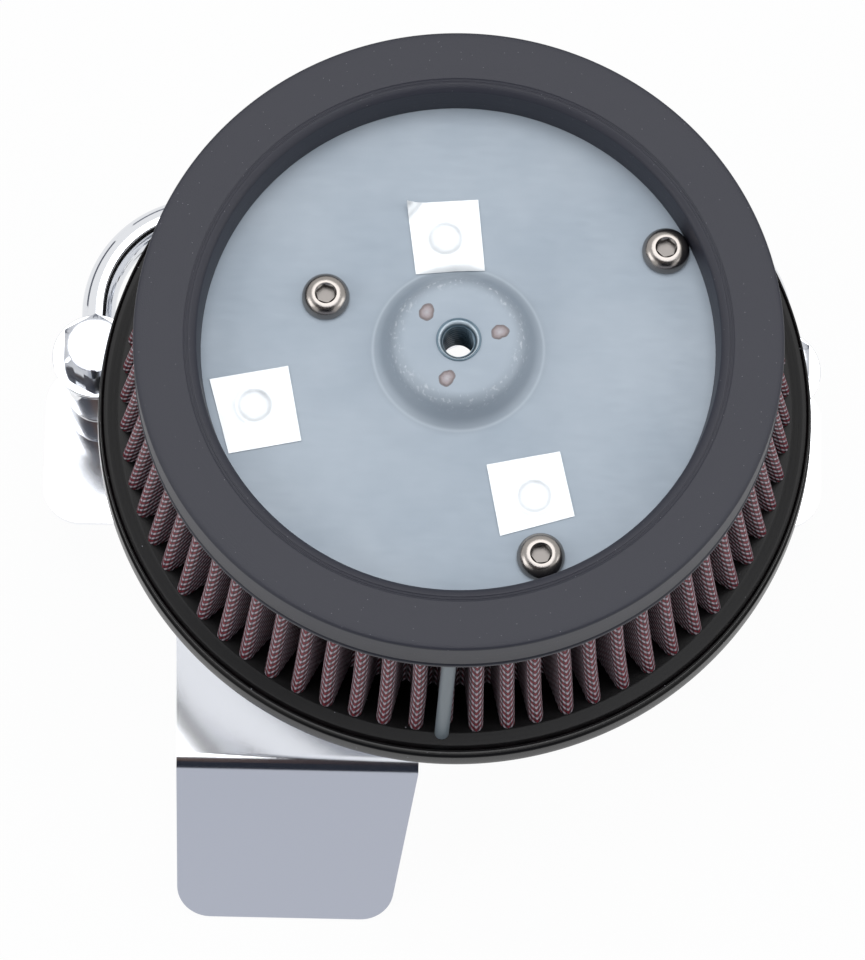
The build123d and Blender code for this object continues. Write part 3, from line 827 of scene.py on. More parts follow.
@dataclass
class Filter:
    """Pleated filter: end caps, folded gauze and seam bead. Heights are above its seat."""

    seat: float = 16.0
    base_r: float = 83.2
    base_bore_r: float = 64.5
    base_h: float = 9.5
    ring_r: float = 73.0
    ring_low: float = 47.7
    ring_top: float = 61.4
    ring_mouth_r: float = 58.8
    ring_wall_r: float = 57.95
    sheet_top: float = 52.0
    sheet_t: float = 1.5
    pocket_r: float = 66.1
    skirt_r: float = 59.4
    folds: int = 68
    lean: float = 0.32
    bow: float = 0.3
    seam_fold: int = 51
    seam_turn: float = -0.7
    foot_r: float = 77.8
    head_r: float = 71.2
    depth: float = 11.4
    ridge_bend: float = 1.7
    valley_bend: float = 1.15
    wall: float = 0.95
    bead_r: float = 1.65
    bead_stand: float = 0.15
    bead_clearance: float = 0.02
    bead_foot_turn: float = -1.25
    bead_head_turn: float = -0.5
    bead_sides: int = 32
    rows: int = 8
    arc_steps: int = 6
    turn_steps: int = 320

    def build(self) -> None:
        """Build the filter's four pieces."""
        self.build_base()
        self.build_ring()
        self.build_folds()
        self.build_bead()

    def build_base(self) -> None:
        """Turn the base ring with its lip, its groove and the basin round the folds."""
        r, h, bore = self.base_r, self.base_h, self.base_bore_r
        outline = rounded([
            (bore, 0), (r - 0.8, 0), (r, 1.0), (r, 2.2), (r - 0.25, 6.0), (r - 0.85, 6.5),
            (r - 1.0, h - 1.0), (r - 0.7, h - 0.6), (r - 0.8, h - 0.15), (r - 1.1, h),
            (r - 1.5, h - 0.35), (r - 2.4, h - 0.4), (self.foot_r + 0.3, h), (bore + 0.6, h),
            (bore, h - 0.6),
        ], 0.25)
        settle(lathe("filter_base", outline, FILTER_AXIS, URETHANE_BASE, self.turn_steps,
                     Corner.SOFT, low=self.seat), "lower_end_cap")

    def build_ring(self) -> None:
        """Turn the upper ring with its flash line, crown and lipped mouth."""
        r, low, top = self.ring_r, self.ring_low, self.ring_top
        mouth, plate = self.ring_mouth_r, self.sheet_top
        outline = rounded([
            (self.skirt_r, low), (r - 0.1, low), (r + 0.2, low + 0.3), (r + 0.2, low + 1.3),
            (r - 0.4, low + 1.6), (r - 0.4, low + 1.9), (r, low + 2.3), (r, top - 0.6),
            (r - 0.2, top - 0.25), (r - 0.5, top - 0.08), (r - 1.2, top), (mouth + 3.0, top),
            (mouth + 2.7, top - 0.25), (mouth + 2.4, top), (mouth + 2.1, top - 0.25),
            (mouth + 1.8, top), (mouth + 0.7, top - 0.4), (mouth, top - 1.1),
            (self.ring_wall_r, plate), (self.pocket_r, plate),
            (self.pocket_r, plate - self.sheet_t), (self.skirt_r, plate - self.sheet_t),
        ], 0.35, 3)
        settle(lathe("filter_ring", outline, FILTER_AXIS, URETHANE_TOP, self.turn_steps,
                     Corner.SOFT, low=self.seat), "upper_end_cap")

    def fold_points(self, inset: float) -> list[tuple[float, float | None, float, bool]]:
        """Give one fold's outline, valley to valley.

        Args:
            inset: Distance inward from the outer face.

        Returns:
            For each point: height above the valley, offset across (None midway up a side),
            distance along the sheet from the ridge, and whether it belongs to the ridge.
        """
        ridge, valley = self.ridge_bend - inset, self.valley_bend + inset
        arc = math.pi / 2 * ridge
        run = self.depth - ridge - valley
        quarter = [math.pi / 2 * step / self.arc_steps for step in range(self.arc_steps + 1)]
        half = [math.pi / 2 * step / self.arc_steps for step in range(2 * self.arc_steps + 1)]
        foot = [(valley * (1 - math.cos(a)), valley * math.sin(a),
                 arc + run + valley * (math.pi / 2 - a)) for a in quarter]
        side = valley + run / 2
        return ([(up, -across, -along, False) for up, across, along in foot]
                + [(side, None, -(arc + run / 2), True)]
                + [(valley + run + ridge * math.sin(a), -ridge * math.cos(a),
                    -ridge * (math.pi / 2 - a), True) for a in half]
                + [(side, None, arc + run / 2, True)]
                + [(up, across, along, False) for up, across, along in reversed(foot[1:])])

    def build_folds(self) -> None:
        """Fold the gauze: an outer and an inner face, row by row, with small uneven leans."""
        draw = random.Random(7)
        leans = [draw.uniform(-self.lean, self.lean) for _ in range(self.folds)]
        bows = [draw.uniform(-self.bow, self.bow) for _ in range(self.folds)]
        step = 360 / self.folds
        uvs: list[Point] = []
        verts: list[Vector] = []
        for inset in (0.0, self.wall):
            shape = self.fold_points(inset)
            for row in range(self.rows + 1):
                share = row / self.rows
                z = self.base_h + share * (self.ring_low - self.base_h)
                outer = self.foot_r + share * (self.head_r - self.foot_r)
                side = (self.ridge_bend - self.valley_bend - 2 * inset
                        + math.radians(step) * (outer - self.depth) / 2) / 2
                for k in range(self.folds):
                    bend = leans[k] + bows[k] * math.sin(math.pi * share)
                    shrink = 0.0
                    if k == self.seam_fold:
                        bend = 0.0
                        shrink = self.bead_r - self.bead_stand + self.bead_clearance
                    for up, across, along, on_ridge in shape:
                        r = outer - self.depth - inset + up - (shrink if on_ridge else 0.0)
                        turn = (k - self.seam_fold) * step + self.seam_turn - 90
                        if across is None:
                            shift = math.copysign(side, along) + bend / 2
                        elif on_ridge:
                            shift = across + bend
                        else:
                            turn += math.copysign(step / 2, along)
                            shift = -across
                        a = math.radians(turn)
                        verts.append(Vector((
                            FILTER_AXIS[0] + r * math.cos(a) - shift * math.sin(a),
                            FILTER_AXIS[1] + r * math.sin(a) + shift * math.cos(a),
                            self.seat + z)) * MM)
                        uvs.append((along * MM, z * MM))
        around = len(shape) * self.folds
        starts = [row * around for row in range(2 * self.rows + 2)]
        faces = wall_faces(starts[:self.rows + 1], starts[self.rows + 1:], around)
        piece = make_piece("filter_gauze", verts, faces, GAUZE, Corner.SOFT)
        sheet = piece.data.uv_layers.new(name="sheet")
        for loop in piece.data.loops:
            sheet.data[loop.index].uv = uvs[loop.vertex_index]
        settle(piece, "pleated_media")

    def build_bead(self) -> None:
        """Lay the seam bead, leaning in with the folds."""
        verts = []
        for z, r, turn in ((self.base_h, self.foot_r, self.bead_foot_turn),
                           (self.ring_low, self.head_r, self.bead_head_turn)):
            a = math.radians(turn - 90)
            reach = r + self.bead_stand
            middle = beside_axis((reach * math.cos(a), reach * math.sin(a)))
            verts += [round_point(middle, self.bead_r, TURN * k / self.bead_sides, self.seat + z)
                      for k in range(self.bead_sides)]
        settle(make_piece("seam_bead", verts, post_faces(self.bead_sides), SEAM_BEAD),
               "seam_strip")


@dataclass
class TopPlate:
    """Pressed top plate with its dome, welded nut, tape, and the screws that clamp the filter."""

    level: float = 68.0
    sheet_t: float = 1.5
    rim_r: float = 66.0
    dome_base_r: float = 18.2
    dome_top_r: float = 14.35
    dome_h: float = 7.0
    dome_round: float = 2.6
    screw_circle_r: float = 44.9
    screw_turn: float = 39.4
    spare_places: tuple[Point, ...] = ((-3.4, 26.4), (-45.5, -14.3), (17.65, -34.2))
    spare_r: float = 3.7
    screw_hole_r: float = 3.5
    nut_r: float = 5.1
    nut_thread_r: float = 3.45
    nut_length: float = 15.5
    nut_stand: float = 0.4
    nut_mouth: float = 1.4
    nut_edge: float = 0.15
    nut_foot_edge: float = 0.3
    nut_flange_r: float = 11.8
    nut_flange_t: float = 1.4
    thread_depth: float = 0.495
    weld_places: tuple[Point, ...] = ((-7.3, 6.35), (9.2, 2.05), (-2.5, -9.15))
    head_r: float = 5.4
    head_h: float = 3.3
    head_rim: float = 0.5
    shank_r: float = 3.1
    shank_length: float = 57.0
    hex_flats: float = 3.97
    hex_depth: float = 2.0
    tape_t: float = 0.25
    foil_t: float = 0.06
    tape_steps: int = 44
    sag: float = 0.28
    pucker: float = 0.10
    pucker_at: float = 1.12
    curl: float = 2.2
    curl_reach: float = 0.28
    tape_corners: tuple[tuple[Point, ...], ...] = (
        ((-12.3, 34.6), (3.9, 35.9), (5.7, 18.8), (-9.9, 17.6)),
        ((-55.8, -8.4), (-38.2, -4.8), (-34.8, -22.4), (-51.0, -25.8)),
        ((6.8, -27.1), (23.2, -23.6), (26.7, -38.7), (10.1, -43.7)),
    )

    @property
    def screw_places(self) -> list[Point]:
        """The three filter screws' axes, on a circle about the inlet."""
        turns = [math.radians(self.screw_turn + 120 * k) for k in range(3)]
        return [(self.screw_circle_r * math.cos(t), self.screw_circle_r * math.sin(t))
                for t in turns]

    def build(self) -> None:
        """Build the plate and everything fixed to it."""
        self.build_sheet()
        self.build_nut()
        self.build_welds()
        for number in range(3):
            self.build_tape(number)
            self.build_screw(number)

    def outer_profile(self) -> list[Point]:
        """Give the sheet's upper face from the rim to the middle, with its rounded bends."""
        return rounded([(self.rim_r, 0), (self.dome_base_r, 0), (self.dome_top_r, self.dome_h),
                        (self.nut_r, self.dome_h)], self.dome_round, 8, closed=False)

    def height(self, radius: float) -> float:
        """Give the sheet's upper height at a radius.

        Args:
            radius: Distance from the filter's axis.

        Returns:
            Height above the sheet's flat.
        """
        points = self.outer_profile()
        for (r0, z0), (r1, z1) in zip(points, points[1:]):
            if r1 <= radius <= r0:
                return z0 + (z1 - z0) * (r0 - radius) / max(r0 - r1, 1e-6)
        return 0.0

    def build_sheet(self) -> None:
        """Turn the sheet and cut its holes."""
        under = self.dome_h - self.sheet_t
        lower = rounded([(self.nut_r, under), (self.dome_top_r - 1.0, under),
                         (self.dome_base_r - 1.05, -self.sheet_t), (self.rim_r, -self.sheet_t)],
                        self.dome_round, 8, closed=False)
        sheet = lathe("top_sheet", self.outer_profile() + lower, FILTER_AXIS, ZINC_SHEET, 256,
                      low=self.level)
        holes = [(place, self.screw_hole_r) for place in self.screw_places]
        holes += [(beside_axis(place), self.spare_r) for place in self.spare_places]
        carve(sheet, [prism(40, r, place, self.level - 3, self.level + 1, ZINC_SHEET)
                      for place, r in holes])
        settle(sheet, "top_plate")

    def build_nut(self) -> None:
        """Turn the nut with a real helical thread."""
        top = self.dome_h + self.nut_stand
        foot = top - self.nut_length
        seat = self.dome_h - self.sheet_t
        flange = seat - self.nut_flange_t
        rows = int(self.nut_length / THREAD_PITCH * 8)
        cut = self.nut_length - self.nut_mouth - self.nut_foot_edge
        outline = [(self.nut_r - self.nut_edge, top), (self.nut_thread_r + self.nut_mouth, top)]
        outline += [(self.nut_thread_r, top - self.nut_mouth - cut * k / rows)
                    for k in range(rows + 1)]
        outline += [(self.nut_thread_r + self.nut_foot_edge, foot), (self.nut_r, foot),
                    (self.nut_r, flange), (self.nut_flange_r, flange),
                    (self.nut_flange_r, seat), (self.nut_r, seat),
                    (self.nut_r, top - self.nut_edge)]

        def thread(r: float, z: float, angle: float) -> float:
            """Open the bore by the thread's depth, once a turn.

            Args:
                r: The point's radius.
                z: Its height.
                angle: Its angle.

            Returns:
                Its radius on the thread.
            """
            if abs(r - self.nut_thread_r) > 1e-6:
                return r
            phase = (z / THREAD_PITCH - angle / TURN) % 1.0
            return r + self.thread_depth * (1 - abs(2 * phase - 1))

        settle(lathe("welded_nut", outline, FILTER_AXIS, ZINC_NUT, 96, reshape=thread,
                     low=self.level), "weld_nut")

    def build_welds(self) -> None:
        """Press the weld spots into the dome's flat."""
        outline = [(0, 0.04), (0.5, 0.05), (0.9, 0.08), (1.15, 0.12), (1.4, 0.12), (1.65, 0.07),
                   (1.9, 0.012), (1.95, -0.1), (0, -0.1)]
        for k, place in enumerate(self.weld_places):
            phase = random.Random(k).uniform(0, TURN)

            def uneven(r: float, z: float, angle: float, phase: float = phase) -> float:
                """Push the spot out of round."""
                return r * (1 + 0.12 * math.sin(2 * angle + phase)
                            + 0.05 * math.sin(3 * angle + 2 * phase) + 0.03 * math.sin(7 * angle))

            settle(lathe(f"weld_spot_{k + 1}", outline, beside_axis(place), WELD_SPOT, 32,
                         Corner.SOFT, uneven, self.level + self.dome_h))

    def build_tape(self, number: int) -> None:
        """Lay one tape patch: it follows the sheet, sags into its hole and lifts at a corner.

        Args:
            number: Which patch, from 0.
        """
        corners = [Vector((*c, 0)) for c in self.tape_corners[number]]
        hole = Vector((*self.spare_places[number], 0))
        steps = self.tape_steps
        draw = random.Random(11 + number)
        seed = Vector((draw.uniform(0, 9), draw.uniform(0, 9), 0))
        upper = []
        for j in range(steps + 1):
            for i in range(steps + 1):
                u, v = i / steps, j / steps
                p = (corners[0] * (1 - u) + corners[1] * u) * (1 - v) \
                    + (corners[3] * (1 - u) + corners[2] * u) * v
                ground = self.height(p.length)
                near = (p - hole).length / self.spare_r
                lift = ground + self.tape_t - self.sag * max(0.0, 1 - near ** 4)
                lift += 0.10 * noise.noise(p * 0.16 + seed) + 0.05 * noise.noise(p * 0.5 + seed)
                lift += self.pucker * math.exp(-((near - self.pucker_at) / 0.1) ** 2)
                if number == 0:
                    lift += self.curl * max(0.0, 1 - (u + v) / self.curl_reach) ** 2
                if near >= 1:
                    lift = max(lift, ground + self.foil_t)
                upper.append(Vector((*beside_axis((p.x, p.y)), self.level + lift)))
        count = len(upper)
        foil = Vector((0, 0, self.foil_t))
        verts = [p * MM for p in upper] + [(p - foil) * MM for p in upper]
        row = steps + 1
        faces: Faces = []
        for a in (j * row + i for j in range(steps) for i in range(steps)):
            b = count + a
            faces += [(a, a + row, a + row + 1, a + 1), (b, b + 1, b + row + 1, b + row)]
        rim = list(range(row)) + [j * row + steps for j in range(1, row)]
        rim += [steps * row + i for i in range(steps - 1, -1, -1)]
        rim += [j * row for j in range(steps - 1, 0, -1)]
        faces += [(a, b, count + b, count + a) for a, b in zip(rim, rim[1:] + rim[:1])]
        piece = make_piece(f"tape_{number + 1}", verts, faces, TAPE, Corner.SOFT)
        face_out(piece)
        settle(piece, f"tape_patch_{number + 1}")

    def build_screw(self, number: int) -> None:
        """Turn one button head screw and cut its hexagon socket.

        Args:
            number: Which screw, from 0.
        """
        r, h, rim, end = self.head_r, self.head_h, self.head_rim, -self.shank_length
        place = self.screw_places[number]
        flat = r * 0.5
        outline = [(0, h), (flat - 0.3, h)]
        outline += [(flat + (r - flat) * math.sin(t), rim + (h - rim) * math.cos(t))
                    for t in (math.pi / 2 * k / 14 for k in range(15))]
        outline += [(r - 0.05, 0.25), (r - 0.3, 0), (self.shank_r, 0), (self.shank_r, end + 0.5),
                    (self.shank_r - 0.5, end), (0, end)]
        screw = lathe(f"button_screw_{number + 1}", outline, place, STAINLESS, 96, low=self.level)
        reach = self.hex_flats / math.sqrt(3)
        top = self.level + h
        socket = prism(6, reach, place, top - self.hex_depth, top + 1, HEX_SOCKET,
                       math.radians(18 + 25 * number))
        chamfer = lathe("cutter", [(0, 1), (reach + 1.2, 1), (reach - 0.55, -0.75), (0, -0.75)],
                        place, STAINLESS, 48, low=top)
        carve(screw, [socket, chamfer])
        settle(screw, f"filter_screw_{number + 1}")


@dataclass
class BreatherSide:
    """One breather bolt with what it clamps, and its bent tube."""

    side: str
    bolt_x: float
    hand: int
    bolt_y: float = 21.5
    head_top: float = 14.0
    head_h: float = 8.4
    flats: float = 14.3
    thread_r: float = 4.76
    shank_r: float = 4.5
    thread_top: float = -38.8
    tip: float = -59.8
    bore_r: float = 2.4
    bore_length: float = 55.0
    washer_r: float = 10.3
    washer_t: float = 1.8
    boss_r: float = 8.1
    boss_h: float = 22.8
    ring_r: float = 7.5
    ring_t: float = 1.0
    spacer_h: float = 15.8
    tube_r: float = 4.0
    tube_bore_r: float = 2.8
    tube_sunk: float = 1.2
    bend_r: float = 25.0
    bend_turn: float = 120.0
    bend_steps: int = 48
    tube_drop: float = 4.8
    straight: float = 13.3
    tail: float = 12.8
    corner_power: float = 60.0

    @property
    def centre(self) -> Point:
        """The bolt's axis."""
        return self.bolt_x, self.bolt_y

    def build(self) -> None:
        """Build the stack from the head down, then the tube."""
        self.build_bolt()
        low = self.head_top - self.head_h - self.washer_t
        self.build_collar("washer", low, self.washer_t, self.washer_r, "bolt_washer", 0.3)
        low -= self.boss_h
        self.build_banjo(low)
        low -= self.ring_t
        self.build_collar("crush_ring", low, self.ring_t, self.ring_r, "crush_ring", 0.15,
                          SEAL_RUBBER)
        low -= self.spacer_h
        self.build_collar("spacer", low, self.spacer_h, self.boss_r, "spacer", 0.5)
        dress_node(f"tube_seal_{self.side}", SEAL_RUBBER)

    def build_collar(self, name: str, low: float, height: float, radius: float, node: str,
                     edge: float, finish: Finish = CHROMED_STEEL) -> None:
        """Turn one ring of the stack.

        Args:
            name: What it is called.
            low: Height of its foot.
            height: How tall it is.
            radius: Its outer radius.
            node: The first part of its CAD node's name.
            edge: Size of its broken edges.
            finish: What it is made of.
        """
        bore = self.thread_r + 0.4
        outline = rounded([(bore, low), (radius, low), (radius, low + height),
                           (bore, low + height)], edge)
        settle(lathe(f"{name}_{self.side}", outline, self.centre, finish, 128),
               f"{node}_{self.side}")

    def build_bolt(self) -> None:
        """Turn the bolt and give its head six flats with soft corners."""
        top, foot = self.head_top, self.head_top - self.head_h
        wide, narrow = self.flats * 0.6, self.flats * 0.465
        outline = [(narrow * k / 6, top) for k in range(6)]
        outline += [(narrow - 0.5, top), (narrow, top - 0.12), (wide, top - 1.25),
                    (wide, foot + 0.3), (wide - 0.4, foot), (self.shank_r, foot),
                    (self.shank_r, self.thread_top), (self.thread_r, self.thread_top),
                    (self.thread_r, self.tip + 0.5), (self.thread_r - 0.5, self.tip),
                    (self.bore_r, self.tip), (self.bore_r, self.tip + self.bore_length),
                    (0, self.tip + self.bore_length)]

        def flats(r: float, z: float, angle: float) -> float:
            """Hold the head's radius inside its six flats.

            Args:
                r: The point's radius.
                z: Its height.
                angle: Its angle.

            Returns:
                Its radius on the hexagon.
            """
            if z < foot - 0.01 or r < self.thread_r + 0.01:
                return r
            total = sum(abs(math.cos(angle - math.pi * k / 3)) ** self.corner_power
                        for k in range(3))
            return min(r, self.flats / 2 * total ** (-1 / self.corner_power))

        settle(lathe(f"hex_bolt_{self.side}", outline, self.centre, BOLT_HEAD, 180,
                     reshape=flats), f"breather_bolt_{self.side}")

    def build_banjo(self, low: float) -> None:
        """Turn the boss and sweep its tube from inside it.

        Args:
            low: Height of the boss's foot.
        """
        high = low + self.boss_h
        z = high - self.tube_drop
        bore = self.thread_r + 0.1
        boss = lathe(f"banjo_{self.side}", rounded([(bore, low), (self.boss_r, low),
                                                    (self.boss_r, high), (bore, high)], 0.5),
                     self.centre, CHROMED_STEEL, 128)
        middle = Vector((self.bolt_x + self.hand * self.bend_r, self.bolt_y + self.straight, z))
        root = self.bolt_y + self.boss_r - self.tube_sunk
        path = [Vector((self.bolt_x, root + k * 0.4, z)) for k in range(14)]
        for k in range(self.bend_steps + 1):
            a = math.radians(self.bend_turn * k / self.bend_steps)
            path.append(middle + Vector((-self.hand * math.cos(a), math.sin(a), 0)) * self.bend_r)
        after = math.radians(180 - self.bend_turn)
        heading = Vector((self.hand * math.sin(after), -math.cos(after), 0))
        path.append(path[-1] + heading * self.tail)
        tube = sweep(f"banjo_tube_{self.side}", path, (self.tube_r, self.tube_bore_r),
                     CHROMED_STEEL)
        settle(join([boss, tube]), f"breather_banjo_{self.side}")


@dataclass
class BackingPlate:
    """Cast backing plate with what is fitted to it from the filter's side and from below."""

    seal_r: float = 33.0
    seal_cord_r: float = 1.3
    seal_mid: float = 0.8
    seal_sides: int = 20

    def build(self) -> None:
        """Dress the casting, its screws and its inlet seal."""
        dress_node("backing_plate", CHROMED_CASTING)
        for number in (1, 2, 3):
            dress_node(f"throttle_screw_{number}", STAINLESS)
        turns = [TURN * k / self.seal_sides for k in range(self.seal_sides)]
        cord = [(self.seal_r + self.seal_cord_r * math.cos(t),
                 self.seal_mid + self.seal_cord_r * math.sin(t)) for t in turns]
        settle(lathe("inlet_ring", cord, (0, 0), SEAL_RUBBER, 128, Corner.SOFT), "inlet_seal")


@dataclass
class SheetCover:
    """Bent cover: cut flat from sheet as a blank, then folded along one line."""

    top: float = -35.8
    thick: float = 2.0
    left: float = -110.3
    right: float = 77.4
    back: float = 32.0
    left_low: float = -7.0
    right_low: float = -4.4
    ear_round: float = 9.0
    inner_round: float = 6.0
    round_steps: int = 12
    cutout_r: float = 41.0
    cutout_steps: int = 48
    leg_left: float = -76.1
    leg_lean: float = 1.9
    leg_right: float = -18.4
    bend_at: float = -63.7
    web_low: float = -57.0
    web_x: float = 10.0
    web_mid: Point = (56.0, -22.0)
    bend_r: float = 6.0
    bend_turn: float = 40.0
    bend_steps: int = 20
    flap: float = 39.0
    flap_left: float = 0.5
    flap_right: float = -6.5
    flap_round: float = 8.0
    bolt_places: tuple[Point, ...] = ((-96.7, 21.5), (64.2, 21.5))
    bolt_hole_r: float = 5.16
    edge_round: float = 0.35

    @property
    def middle_r(self) -> float:
        """The bend's radius at the middle of the sheet."""
        return self.bend_r - self.thick / 2

    @property
    def bend_length(self) -> float:
        """The length of sheet in the bend."""
        return math.radians(self.bend_turn) * self.middle_r

    def build(self) -> None:
        """Cut the blank, fold it, give it thickness and break its edges."""
        work = bmesh.new()
        face = work.faces.new([work.verts.new((x, s, 0)) for x, s in self.blank()])
        for k in range(self.bend_steps + 1):
            at = self.bend_at - self.bend_length * k / self.bend_steps
            bmesh.ops.bisect_plane(work, geom=work.verts[:] + work.edges[:] + work.faces[:],
                                   plane_co=(0, at, 0), plane_no=(0, 1, 0))
        if face.is_valid:
            face.normal_update()
        mesh = bpy.data.meshes.new("sheet_cover")
        for vert in work.verts:
            vert.co = self.fold(vert.co)
        bmesh.ops.recalc_face_normals(work, faces=work.faces)
        if sum(f.normal.z for f in work.faces) < 0:
            bmesh.ops.reverse_faces(work, faces=work.faces)
        work.to_mesh(mesh)
        work.free()
        cover = place_object("sheet_cover", mesh)
        mesh.materials.append(CHROMED_SHEET.material())
        body = cover.modifiers.new("thickness", "SOLIDIFY")
        body.thickness = self.thick * MM
        body.offset = 0.0
        bake(cover)
        carve(cover, [prism(48, self.bolt_hole_r, place, self.top - 5, self.top + 3,
                            CHROMED_SHEET) for place in self.bolt_places])
        edge = cover.modifiers.new("broken edges", "BEVEL")
        edge.width = self.edge_round * MM
        edge.segments = 3
        edge.limit_method = "ANGLE"
        edge.angle_limit = math.radians(60)
        edge.harden_normals = True
        settle(cover, "servo_cover")

    def blank(self) -> list[Point]:
        """Give the flat blank's outline.

        Returns:
            Its points; below the bend, y is length along the sheet.
        """
        start = self.bend_at - self.bend_length
        foot = start - self.flap
        cutout = [-math.pi * k / self.cutout_steps for k in range(self.cutout_steps + 1)]
        pieces = [
            ([(self.left, self.back), (self.left, self.left_low)], self.ear_round),
            ([(self.leg_left - self.leg_lean, self.left_low)], self.inner_round),
            ([(self.leg_left, self.bend_at), (self.leg_left, start)], 0.0),
            ([(self.leg_left + self.flap_left, foot), (self.leg_right + self.flap_right, foot)],
             self.flap_round),
            ([(self.leg_right, start), (self.leg_right, self.bend_at)], 0.0),
            ([(self.leg_right, self.web_low), (self.web_x, self.web_low), self.web_mid,
              (self.web_mid[0], self.right_low)], self.inner_round),
            ([(self.right, self.right_low), (self.right, self.back)], self.ear_round),
            ([(self.cutout_r, self.back)], 0.0),
            ([(self.cutout_r * math.cos(a), self.cutout_r * math.sin(a)) for a in cutout], 0.0),
            ([(-self.cutout_r, self.back)], 0.0),
        ]
        corners = [(point, radius) for points, radius in pieces for point in points]
        out: list[Point] = []
        for k, (corner, radius) in enumerate(corners):
            if radius == 0.0:
                out.append(corner)
                continue
            here = Vector(corner)
            back = (Vector(corners[k - 1][0]) - here).normalized()
            ahead = (Vector(corners[(k + 1) % len(corners)][0]) - here).normalized()
            half = back.angle(ahead) / 2
            reach = radius / math.tan(half)
            middle = here + (back + ahead).normalized() * (radius / math.sin(half))
            first, last = here + back * reach - middle, here + ahead * reach - middle
            turn = first.angle_signed(last)
            for step in range(self.round_steps + 1):
                spin = Matrix.Rotation(-turn * step / self.round_steps, 2)
                out.append(tuple(middle + spin @ first))
        return out

    def fold(self, point: Vector) -> Vector:
        """Place a point of the blank's mid-plane on the folded sheet.

        Args:
            point: Place on the blank.

        Returns:
            The place in metres.
        """
        mid = self.top - self.thick / 2
        along = self.bend_at - point.y
        if along <= 1e-6:
            return Vector((point.x, point.y, mid)) * MM
        turn = min(along, self.bend_length) / self.middle_r
        beyond = max(0.0, along - self.bend_length)
        y = self.bend_at - self.middle_r * math.sin(turn) - beyond * math.cos(turn)
        z = mid - self.middle_r * (1 - math.cos(turn)) - beyond * math.sin(turn)
        return Vector((point.x, y, z)) * MM


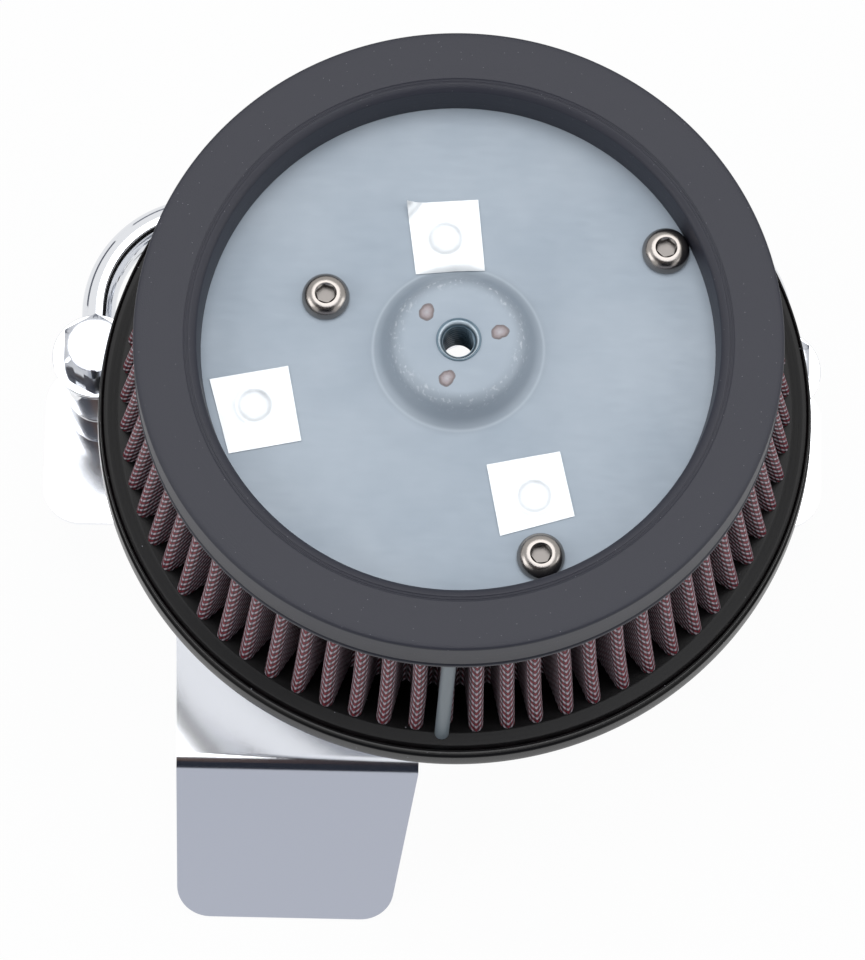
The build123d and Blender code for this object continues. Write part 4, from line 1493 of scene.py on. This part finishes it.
@dataclass
class Studio:
    """Floor, lamps, mirror cards and camera."""

    floor_z: float = -64.0
    floor_reach: float = 4.0
    floor_glow: float = 0.95
    world_fill: float = 0.45
    camera_at: tuple[float, float, float] = (-25.92, -426.83, 1349.49)
    target: tuple[float, float, float] = (-17.183, -29.427, 76.4)
    roll: float = 2.451
    lens: float = 225.0
    sensor: float = 36.0

    def build(self) -> None:
        """Set the whole stage."""
        self.build_world()
        self.build_floor()
        self.build_lamps()
        self.build_cards()
        self.build_camera()

    def seen(self, tree: Tree) -> Node:
        """Tell the rays that show a surface from those that light it.

        Args:
            tree: The tree that asks.

        Returns:
            A node that gives 1 for camera, glossy and transmission rays, else 0.
        """
        rays = add_node(tree, "LightPath").outputs
        first = add_node(tree, "Math", {0: rays["Is Camera Ray"], 1: rays["Is Glossy Ray"]},
                         operation="MAXIMUM")
        return add_node(tree, "Math", {0: first, 1: rays["Is Transmission Ray"]},
                        operation="MAXIMUM")

    def panel(self, name: str, paint: str, left: float, right: float, half: float,
              z: float = 0.0) -> tuple[Piece, Tree]:
        """Make a flat panel for the stage.

        Args:
            name: The panel's name.
            paint: Its material's name.
            left: Its left side in metres.
            right: Its right side in metres.
            half: Half its height in metres.
            z: Its level in metres.

        Returns:
            The panel and the empty tree of its material.
        """
        mesh = bpy.data.meshes.new(name)
        mesh.from_pydata([(left, -half, z), (right, -half, z), (right, half, z),
                          (left, half, z)], [], [(0, 1, 2, 3)])
        material = bpy.data.materials.new(paint)
        mesh.materials.append(material)
        panel = place_object(name, mesh)
        return panel, empty_tree(material)

    def build_world(self) -> None:
        """Make a white world that lights at a plain level."""
        world = bpy.data.worlds.new("studio")
        bpy.context.scene.world = world
        tree = empty_tree(world)
        fill = add_node(tree, "Background", {
            "Color": linear("#eef2f8"), "Strength": self.world_fill})
        white = add_node(tree, "Background", {"Color": (1, 1, 1, 1), "Strength": 1.0})
        mix = add_node(tree, "MixShader", {0: self.seen(tree), 1: fill, 2: white})
        add_node(tree, "OutputWorld", {"Surface": mix})

    def build_floor(self) -> None:
        """Lay a white floor that keeps a soft shadow."""
        reach = self.floor_reach
        _, tree = self.panel("floor", "paper floor", -reach, reach, reach, self.floor_z * MM)
        paper = add_node(tree, "BsdfDiffuse", {"Color": linear("#f4f4f4")})
        glow = add_node(tree, "Emission", {"Color": (1, 1, 1, 1), "Strength": 1.0})
        share = add_node(tree, "Math", {0: self.seen(tree), 1: self.floor_glow},
                         operation="MULTIPLY")
        mix = add_node(tree, "MixShader", {0: share, 1: paper, 2: glow})
        add_node(tree, "OutputMaterial", {"Surface": mix})

    def build_lamps(self) -> None:
        """Hang the soft boxes."""
        lamps = (
            # name, place and size in metres, power
            ("overhead box", (0.0, 0.35, 1.5), 1.1, 9.6),
            ("left box", (-1.3, -0.3, 0.9), 0.8, 5.4),
            ("right box", (1.3, -0.2, 0.8), 0.8, 4.2),
        )
        for name, place, size, power in lamps:
            data = bpy.data.lights.new(name, "AREA")
            data.size = size
            data.energy = power
            lamp = place_object(name, data)
            lamp.location = place
            lamp.rotation_euler = (-Vector(place)).to_track_quat("-Z", "Y").to_euler()

    def build_cards(self) -> None:
        """Stand the cards that only the metal sees: they give the chrome its dark lines."""
        cards = (
            # name, tilt towards the front and turn in degrees, then in metres the distance,
            # width, height and shift to the right; colour
            ("pale card behind the lens", -2.0, 0.0, 1.66, 1.5, 0.62, 0.0, "#f4f6fd"),
            ("dark card over the lens", 35.0, 0.0, 1.6, 1.5, 1.63, 0.0, "#20242e"),
            ("grey wall in front", 76.0, 0.0, 1.7, 2.2, 1.1, 0.0, "#b4b8c3"),
            ("grey card at the left", 84.0, -75.0, 1.5, 0.8, 0.9, 0.0, "#84888f"),
            ("dark card at the right", 84.0, 75.0, 1.5, 0.35, 0.9, 0.0, "#26262e"),
            ("grey horizon behind", 86.0, 180.0, 1.5, 1.8, 0.4, 0.0, "#8a8d96"),
            ("grey horizon at the left", 86.0, -125.0, 1.5, 0.8, 0.4, 0.0, "#6d7079"),
            ("grey horizon at the right", 86.0, 125.0, 1.5, 0.8, 0.4, 0.0, "#6d7079"),
            ("dark card left of the lens", 18.4, -60.0, 1.57, 0.55, 0.5, 0.0, "#242a38"),
            ("warm edge of the dark card", 19.0, 0.0, 1.55, 0.9, 0.5, -0.53, "#54433d"),
        )
        for name, tilt, turn, distance, width, height, shift, colour in cards:
            t, a = math.radians(tilt), math.radians(turn)
            place = distance * Vector((
                math.sin(a) * math.sin(t), -math.cos(a) * math.sin(t), math.cos(t)))
            card, tree = self.panel(name, name, shift - width / 2, shift + width / 2, height / 2)
            card.matrix_world = Matrix.Translation(place) @ (
                -place).to_track_quat("-Z", "Y").to_matrix().to_4x4()
            card.visible_camera = False
            card.visible_diffuse = False
            card.visible_shadow = False
            card.visible_transmission = False
            glow = add_node(tree, "Emission", {"Color": linear(colour), "Strength": 1.0})
            add_node(tree, "OutputMaterial", {"Surface": glow})

    def build_camera(self) -> None:
        """Set the camera where the photograph was taken from."""
        place = Vector(self.camera_at) * MM
        back = (place - Vector(self.target) * MM).normalized()
        right = Vector((0, 0, 1)).cross(back).normalized()
        up = back.cross(right)
        roll = math.radians(self.roll)
        across = right * math.cos(roll) + up * math.sin(roll)
        above = up * math.cos(roll) - right * math.sin(roll)
        data = bpy.data.cameras.new("camera")
        data.sensor_fit = "VERTICAL"
        data.sensor_height = self.sensor
        data.lens = self.lens
        data.clip_end = 20.0
        camera = place_object("camera", data)
        camera.matrix_world = Matrix((
            (across.x, above.x, back.x, place.x),
            (across.y, above.y, back.y, place.y),
            (across.z, above.z, back.z, place.z),
            (0, 0, 0, 1)))
        bpy.context.scene.camera = camera


def main() -> None:
    """Build the stage and every piece."""
    logging.basicConfig(level=logging.INFO, format="%(message)s")
    bpy.context.scene.view_settings.view_transform = "Standard"
    Studio().build()
    Filter().build()
    TopPlate().build()
    BackingPlate().build()
    BreatherSide("left", -96.7, 1).build()
    BreatherSide("right", 64.2, -1).build()
    SheetCover().build()


if __name__ == "__main__":
    main()
